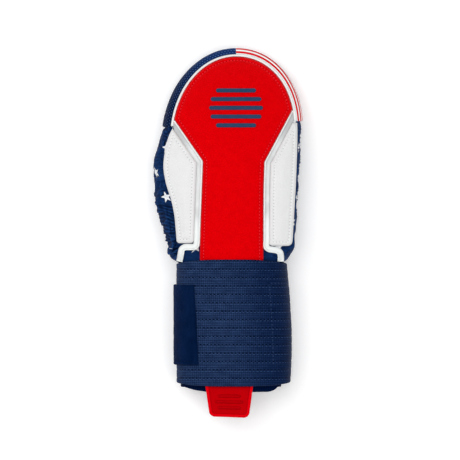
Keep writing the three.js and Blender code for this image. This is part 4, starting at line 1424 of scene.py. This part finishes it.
def build_piping():
    step, sides = 0.8, 14
    inset = piping_radius + seat / 2
    halves = []
    for side in (-1, 1):
        y = piping_end[side] + (hand_length - inset - piping_end[side]) * quarter(130)
        halves.append(np.stack([seam_at(y, side, inset), y], -1))
    points = spaced(np.concatenate([halves[0], halves[1][::-1][1:]]), step)
    run = runs_of(points)
    angle = np.linspace(0, 2 * math.pi, sides, endpoint=False)
    length = np.arange(len(points)) * step
    radius = ((piping_radius + 0.32) * blunt(length, 1.0))[:, None]
    radius = radius * (1 + 0.03 * np.sin(length[:, None] * 2.1 + angle[None, :]))
    s = -radius * np.cos(angle)
    x = points[:, None, 0] + run[:, None, 1] * s
    y = points[:, None, 1] - run[:, None, 0] * s
    z = back_at(x, y) + seat + piping_radius + radius * np.sin(angle) + 0.3
    skin = Skin()
    skin.tube(np.stack([x, y, z], -1), together(angle * piping_radius, length[:, None]), half=sides // 2)
    dress(skin.build("piping_cord", looks["piping"], sharp=70), "piping", slot="piping_fabric")


def build_guard(side):
    """Half of the fingertip guard: cloth wrapped round the edge of the head."""
    bottom = guard_end[side]
    last_turn = 0.992
    rows = np.concatenate([
        bottom + np.array([0, 0.25, 0.7]),
        bottom + (hand_length - bottom) * quarter(130, start=0.012),
    ])
    turns = last_turn * np.sin(np.linspace(1, -1, 44) * math.pi / 2)
    ends = np.minimum(np.arange(len(rows)), 3) / 3
    plump = (0.35 + 0.65 * dome((last_turn - np.abs(turns)) / 0.09)) * (0.45 + 0.55 * dome(ends))[:, None]
    ripple = 0.1 * noise(rows[:, None], turns[None, :] * 8, 7, 51 + side)
    outer, inner = (
        wall_at(rows[:, None], side, turns[None, :], 0, out)
        for out in (seat + guard_thickness * plump + ripple, seat * 0.2)
    )
    # the two halves stop just short of each other at the tip
    outer[-1, :, 0] += side * seat * 0.2
    inner[-1, :, 0] += side * seat * 0.2
    steps = np.linalg.norm(np.diff(outer, axis=1), axis=-1)
    across_at = np.concatenate([np.zeros((len(rows), 1)), np.cumsum(steps, axis=1)], axis=1)
    face = together(across_at, lengths(outer[:, len(turns) // 2])[:, None])
    skin = Skin()
    skin.tube(sheet_ring(outer, inner), sheet_ring(face, face), half=len(turns))
    name = side_names[side]
    piece = skin.build(f"guard_{name}_cloth", looks["net" if side < 0 else "stripes"], sharp=60)
    dress(piece, f"guard_{name}", slot="guard_mesh" if side < 0 else "guard_stripe")


strap_stack = strap_thickness + seat
wrap_drop = max(slip, palm_thickness + seat - strap_stack - strap_thickness)


def wrap_point(angle, y, out):
    """Points of the strap's wrap round the wrist, at an angle from the right side up and over."""
    angle, y, out = np.broadcast_arrays(np.asarray(angle, float), y, out)
    down = np.clip(-y / strap_width, 0, 1)
    left = -strap_left
    right = strap_right + strap_flare * np.sin(down * 2.3)
    back, palm, _, _, _ = levels(y)
    top = back + seat + panel_thickness + slip
    bottom = palm - wrap_drop
    c, s = np.cos(angle), np.sin(angle)
    power = np.where(s > 0, wrap_back, wrap_palm)
    curve = lambda v: np.sign(v) * np.abs(v) ** (2 / power)
    return np.stack([
        (left + right) / 2 + ((right - left) / 2 + out) * curve(c),
        y * np.ones_like(c),
        (top + bottom) / 2 + ((top - bottom) / 2 + out) * curve(s),
    ], -1)


turn_table = np.linspace(0, 2 * math.pi, 4001)
turn_run = lengths(wrap_point(turn_table, -strap_width / 2, 0.0))
turn_length = turn_run[-1]
turn_run /= turn_length


def turn_angle(turn):
    """The angle at so many turns along the strap, by length."""
    whole = np.floor(turn)
    return whole * 2 * math.pi + np.interp(turn - whole, turn_run, turn_table)


def strap_out(turn):
    """How far the strap's second layer climbs over the first."""
    return strap_stack * ease(ramp(turn, *strap_climb))


def band_ring(turn, y, reach, base, thickness, wear, rim):
    """Rings across a band, rounded at its two long edges, and its cloth coordinates.

    reach is the way in from the nearer edge.
    """
    soft = dome(reach / rim)
    angle = turn_angle(turn)
    outer = wrap_point(angle, y, base + thickness * (0.5 + 0.5 * soft) + wear)
    inner = wrap_point(angle, y, base + thickness * (0.5 - 0.5 * soft))
    face = together(turn * turn_length, y)
    return sheet_ring(outer, inner), sheet_ring(face, face)


def strap_relief(turn, y):
    """Grooves of the dashed lines, and the slack of the elastic, out of the strap's face."""
    line = (y + strap_line) / strap_line_pitch
    groove = -0.2 * bell(np.abs(line - np.round(line)) * strap_line_pitch, 0.7)
    run = turn * turn_length
    wear = groove + 0.42 * noise(run, y * 0.6, 34, 61) + 0.14 * noise(run * 0.4, y, 8, 62)
    # the side that lies on the floor stays flat
    below = np.clip((-np.sin(turn_angle(turn)) - 0.4) / 0.3, 0, 1)
    wear = wear * (1 - below) + np.minimum(wear, 0) * below
    # the hidden stretch under the second layer stays plain
    return wear * ramp(turn, 0.66, 0.56) * np.clip((np.abs(turn - 0.75) - 0.02) / 0.1, 0, 1)


def build_strap():
    turn = np.linspace(strap_start, strap_stop, 230)[:, None]
    t = edge_steps(150, 1.12)[None, :]
    side = np.cos(turn_angle(turn)) ** 2
    upper = -strap_sag * side
    lower = -strap_width + strap_rise * side
    y = upper + (lower - upper) * t
    reach = (upper - lower) * np.minimum(t, 1 - t)
    ring, coords = band_ring(turn, y, reach, strap_out(turn), strap_thickness, strap_relief(turn, y), 0.9)
    skin = Skin()
    skin.tube(ring, coords, half=t.shape[1])
    piece = skin.build("elastic_strap", looks["strap"], sharp=60)
    strap_width * 0.001
    (strap_start - strap_stop) * turn_length * 0.001
    dress(piece, "wrist_strap", slot="strap_elastic")


def build_tab():
    start = strap_stop - 0.004
    t = edge_steps(110, 1.3)[None, :]
    share_in = np.linspace(0, 1, 120)[:, None]
    stop = tab_stop[0] + (tab_stop[1] - tab_stop[0]) * t
    turn = start + (stop - start) * share_in
    y = -tab_drop - tab_width * t
    run = turn * turn_length
    # napped all over but for its ends, pressed in along two seams, thin at its far end
    nap = 0.16 * noise(run, y, 1.6, 71) + 0.12 * noise(run, y, 7, 72)
    nap = nap * np.clip(40 * np.minimum(share_in, 1 - share_in), 0, 1)
    seam_y = -tab_drop - tab_width + 3.0
    column = (turn - stop) * turn_length
    sewn = bell(y - seam_y, 0.7) * (column > 2.4) + bell(column - 3.0, 0.7)
    end = dome((1 - share_in) * np.abs(stop - start) * turn_length / 1.1)
    wear = nap - 0.3 * np.clip(sewn, 0, 1) - (1 - end) * 0.9
    reach = tab_width * np.minimum(t, 1 - t)
    ring, coords = band_ring(turn, y, reach, strap_stack, tab_thickness, wear, 1.0)
    skin = Skin()
    skin.tube(ring, coords, half=t.shape[1])
    piece = skin.build("hook_tab_cloth", looks["tab"], sharp=60)
    length = abs(np.mean(tab_stop) - start) * turn_length
    tab_width * 0.001
    length * 0.001
    dress(piece, "hook_tab", slot="tab_fabric")
    at = np.arange(start - 0.012, tab_stop[1] + 0.016, -2.7 / turn_length)
    thread_out = strap_stack + tab_thickness - 0.1
    mid, step = (wrap_point(turn_angle(s), seam_y, thread_out) for s in (at, at - 0.002))
    runs = unit(step - mid)
    ups = np.cross(runs, [0, 1.0, 0])
    ups *= np.sign((ups * (mid - [0, 0, 22])).sum(-1, keepdims=True) + 1e-9)
    threads = Skin()
    capsules(threads, mid, runs, ups, 1.8, 0.22)
    dress(threads.build("hook_tab_thread", looks["dark_thread"], sharp=70), slot="tab_fabric")


def build_pull():
    """A moulded tab with a raised rim and three bars, which hangs a little to one side."""
    base = float(levels(-strap_width + pull_hidden)[0]) + seat
    end = -pull_show
    bar_radius, bar_pitch = 1.15, 4.6
    bars = [(share_of * pull_end * 0.9, end / 2 + row * bar_pitch)
            for share_of, row in ((0.62, 1), (0.75, 0), (0.62, -1))]

    def half(y):
        straight = (pull_top + (pull_end - 1.2 - pull_top) * np.clip(-y / pull_show, 0, 1)) / 2
        return straight - pull_corner * (1 - np.sqrt(1 - ramp(y, end + pull_corner, end) ** 2))

    outline = outline_of(end, pull_hidden, lambda y: -half(y), half, 0.25)

    def high(x, y):
        d = near(together(x, y), outline)
        body = pull_thickness * (0.5 + 0.5 * dome(d / 0.9)) - 0.75 * ease(np.clip((d - 2.3) / 0.7, 0, 1))
        for length, row in bars:
            away = np.hypot(np.maximum(np.abs(x) - length / 2 + bar_radius, 0), y - row)
            body = body + 1.5 * np.clip(1 - (away / bar_radius) ** 2, 0, 1) ** 0.5
        return base + body

    def low(x, y):
        return base + 0.8 * (1 - dome(near(together(x, y), outline) / 0.7))

    rows = np.concatenate([
        end + pull_corner * (1 - np.cos(np.linspace(0, math.pi / 2, 22))),
        np.linspace(end + pull_corner, pull_hidden, 110)[1:],
    ])
    top, bottom = pad_faces(rows, lambda y: -half(y), half, edge_steps(112, 1.25), low, high)
    ring = sheet_ring(top, bottom) + [pull_shift, -strap_width, 0]
    ring[..., 1] -= 0.035 * (ring[..., 0] - pull_shift) * np.clip(-rows[:, None] / pull_show, 0, 1)
    d = near(top[..., :2], outline)
    skin = Skin()
    skin.tube(ring, np.stack([sheet_ring(d, d), ring[..., 1]], -1), half=d.shape[1])
    piece = skin.build("pull_tab_moulding", looks["pull"])
    dress(piece, "pull_tab", slot="pull_rubber")


def build_ribs():
    """Raised ribs on the red panel's head, the middle one longest."""
    r = rib_height / 2
    for row in (-2, -1, 0, 1, 2):
        length = rib_longest * math.sqrt(1 - (row / 3) ** 2)
        middle = rib_middle[1] - row * rib_pitch

        def half(y):
            return length / 2 - r + r * np.sqrt(np.clip(1 - ((y - middle) / r) ** 2, 0, 1))

        def high(x, y):
            away = np.hypot(np.maximum(np.abs(x - rib_middle[0]) - (length / 2 - r), 0), y - middle)
            lump = 0.35 + 0.65 * dome(np.clip(r - away, 0, r) / 0.75)
            return red_high(x, y) + (rib_thickness + 0.1) * lump

        name = f"rib_{row + 3}_moulding"
        piece = build_pad(name, middle + r * np.sin(np.linspace(-1, 1, 23) * math.pi / 2),
                          lambda y: rib_middle[0] - half(y), lambda y: rib_middle[0] + half(y),
                          edge_steps(90, 1.5), lambda x, y: red_high(x, y) - 0.25, high, looks["rib"])
        dress(piece, f"grip_rib_{row + 3}", slot="rib_rubber")


build_sleeve()
build_cuff()
build_palm()
build_red_panel()
for side in (-1, 1):
    build_rail(side)
    build_wing(side)
    build_guard(side)
build_piping()
build_binding()
build_strap()
build_tab()
build_pull()
build_ribs()

# Floor, light and camera

# The photograph: its width in pixels, one pixel in millimetres, and the pixel at the plan's 0, 0
photo_width = 460
pixel = 0.8
plan_pixel = (232, 259.4)
# the height above the floor at which the camera shows the plan at its true scale
true_height = 0.034
lens = 400.0
sensor = 36


def build_floor():
    count, size = 9, 2500.0
    x, y = np.meshgrid(*[np.linspace(-size, size, count)] * 2)
    skin = Skin()
    ids = np.arange(count**2).reshape(count, count) + skin.add(together(x, y, 0.0) - offset)
    zero = np.zeros((count - 1, count - 1, 2))
    skin.quads((ids[:-1, :-1], ids[:-1, 1:], ids[1:, 1:], ids[1:, :-1]), (zero,) * 4)
    look = Look("pale_floor", rough=0.9, specular=0.1)
    cloudy = look.noise(look.spot(0.002), 1.0, 2.0)
    look.shader.inputs["Emission Color"].default_value = (1, 1, 1, 1)
    look.shader.inputs["Emission Strength"].default_value = 0.2
    floor = skin.build("floor", look.finish(look.mix(cloudy, (247, 247, 247), (250, 250, 250))), sharp=40)
    floor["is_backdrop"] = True


def build_studio():
    world = bpy.data.worlds.new("studio")
    bpy.context.scene.world = world
    world.use_nodes = True
    tree = world.node_tree
    soft = tree.nodes["Background"]
    soft.inputs["Color"].default_value = (1, 1, 1, 1)
    soft.inputs["Strength"].default_value = 0.34
    # behind the mitt the studio wall is as pale as the floor
    wall = tree.nodes.new("ShaderNodeBackground")
    wall.inputs["Color"].default_value = (1, 1, 1, 1)
    seen = tree.nodes.new("ShaderNodeLightPath")
    either = tree.nodes.new("ShaderNodeMixShader")
    tree.links.new(seen.outputs["Is Camera Ray"], either.inputs[0])
    tree.links.new(soft.outputs[0], either.inputs[1])
    tree.links.new(wall.outputs[0], either.inputs[2])
    tree.links.new(either.outputs[0], tree.nodes["World Output"].inputs["Surface"])

    aim = np.array([0, 0, 0.02])
    for name, where, size, power in (
        ("top", (-0.1, 0.1, 1.75), 1.3, 17.0),
        ("key", (-0.8, 0.5, 1.1), 0.9, 4.8),
        ("fill", (0.8, -0.5, 1.0), 1.0, 3.2),
    ):
        lamp = bpy.data.lights.new(name, "AREA")
        lamp.shape = "DISK"
        lamp.size = size
        lamp.energy = power
        light = bpy.data.objects.new(name, lamp)
        bpy.context.scene.collection.objects.link(light)
        way = aim - np.array(where)
        pitch = math.atan2(math.hypot(way[0], way[1]), -way[2])
        light.location = where
        light.rotation_euler = (pitch, 0, math.atan2(way[1], way[0]) - math.pi / 2)


def build_camera():
    camera = bpy.data.cameras.new("camera")
    camera.lens = lens
    camera.sensor_width = sensor
    camera.clip_end = 20
    eye = bpy.data.objects.new("camera", camera)
    bpy.context.scene.collection.objects.link(eye)
    centre = photo_width / 2
    plan = np.array([(centre - plan_pixel[0]) * pixel, (plan_pixel[1] - centre) * pixel])
    middle = (plan + offset[:2]) * 0.001
    eye.location = (middle[0], middle[1], photo_width * pixel * 0.001 * lens / sensor + true_height)
    bpy.context.scene.camera = eye
    bpy.context.scene.view_settings.view_transform = "Standard"


build_floor()
build_studio()
build_camera()

own = [[list(map(float, corner)) for corner in box] for box in (cad_box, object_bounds())]
{"cad": own[0], "visual": own[1]}
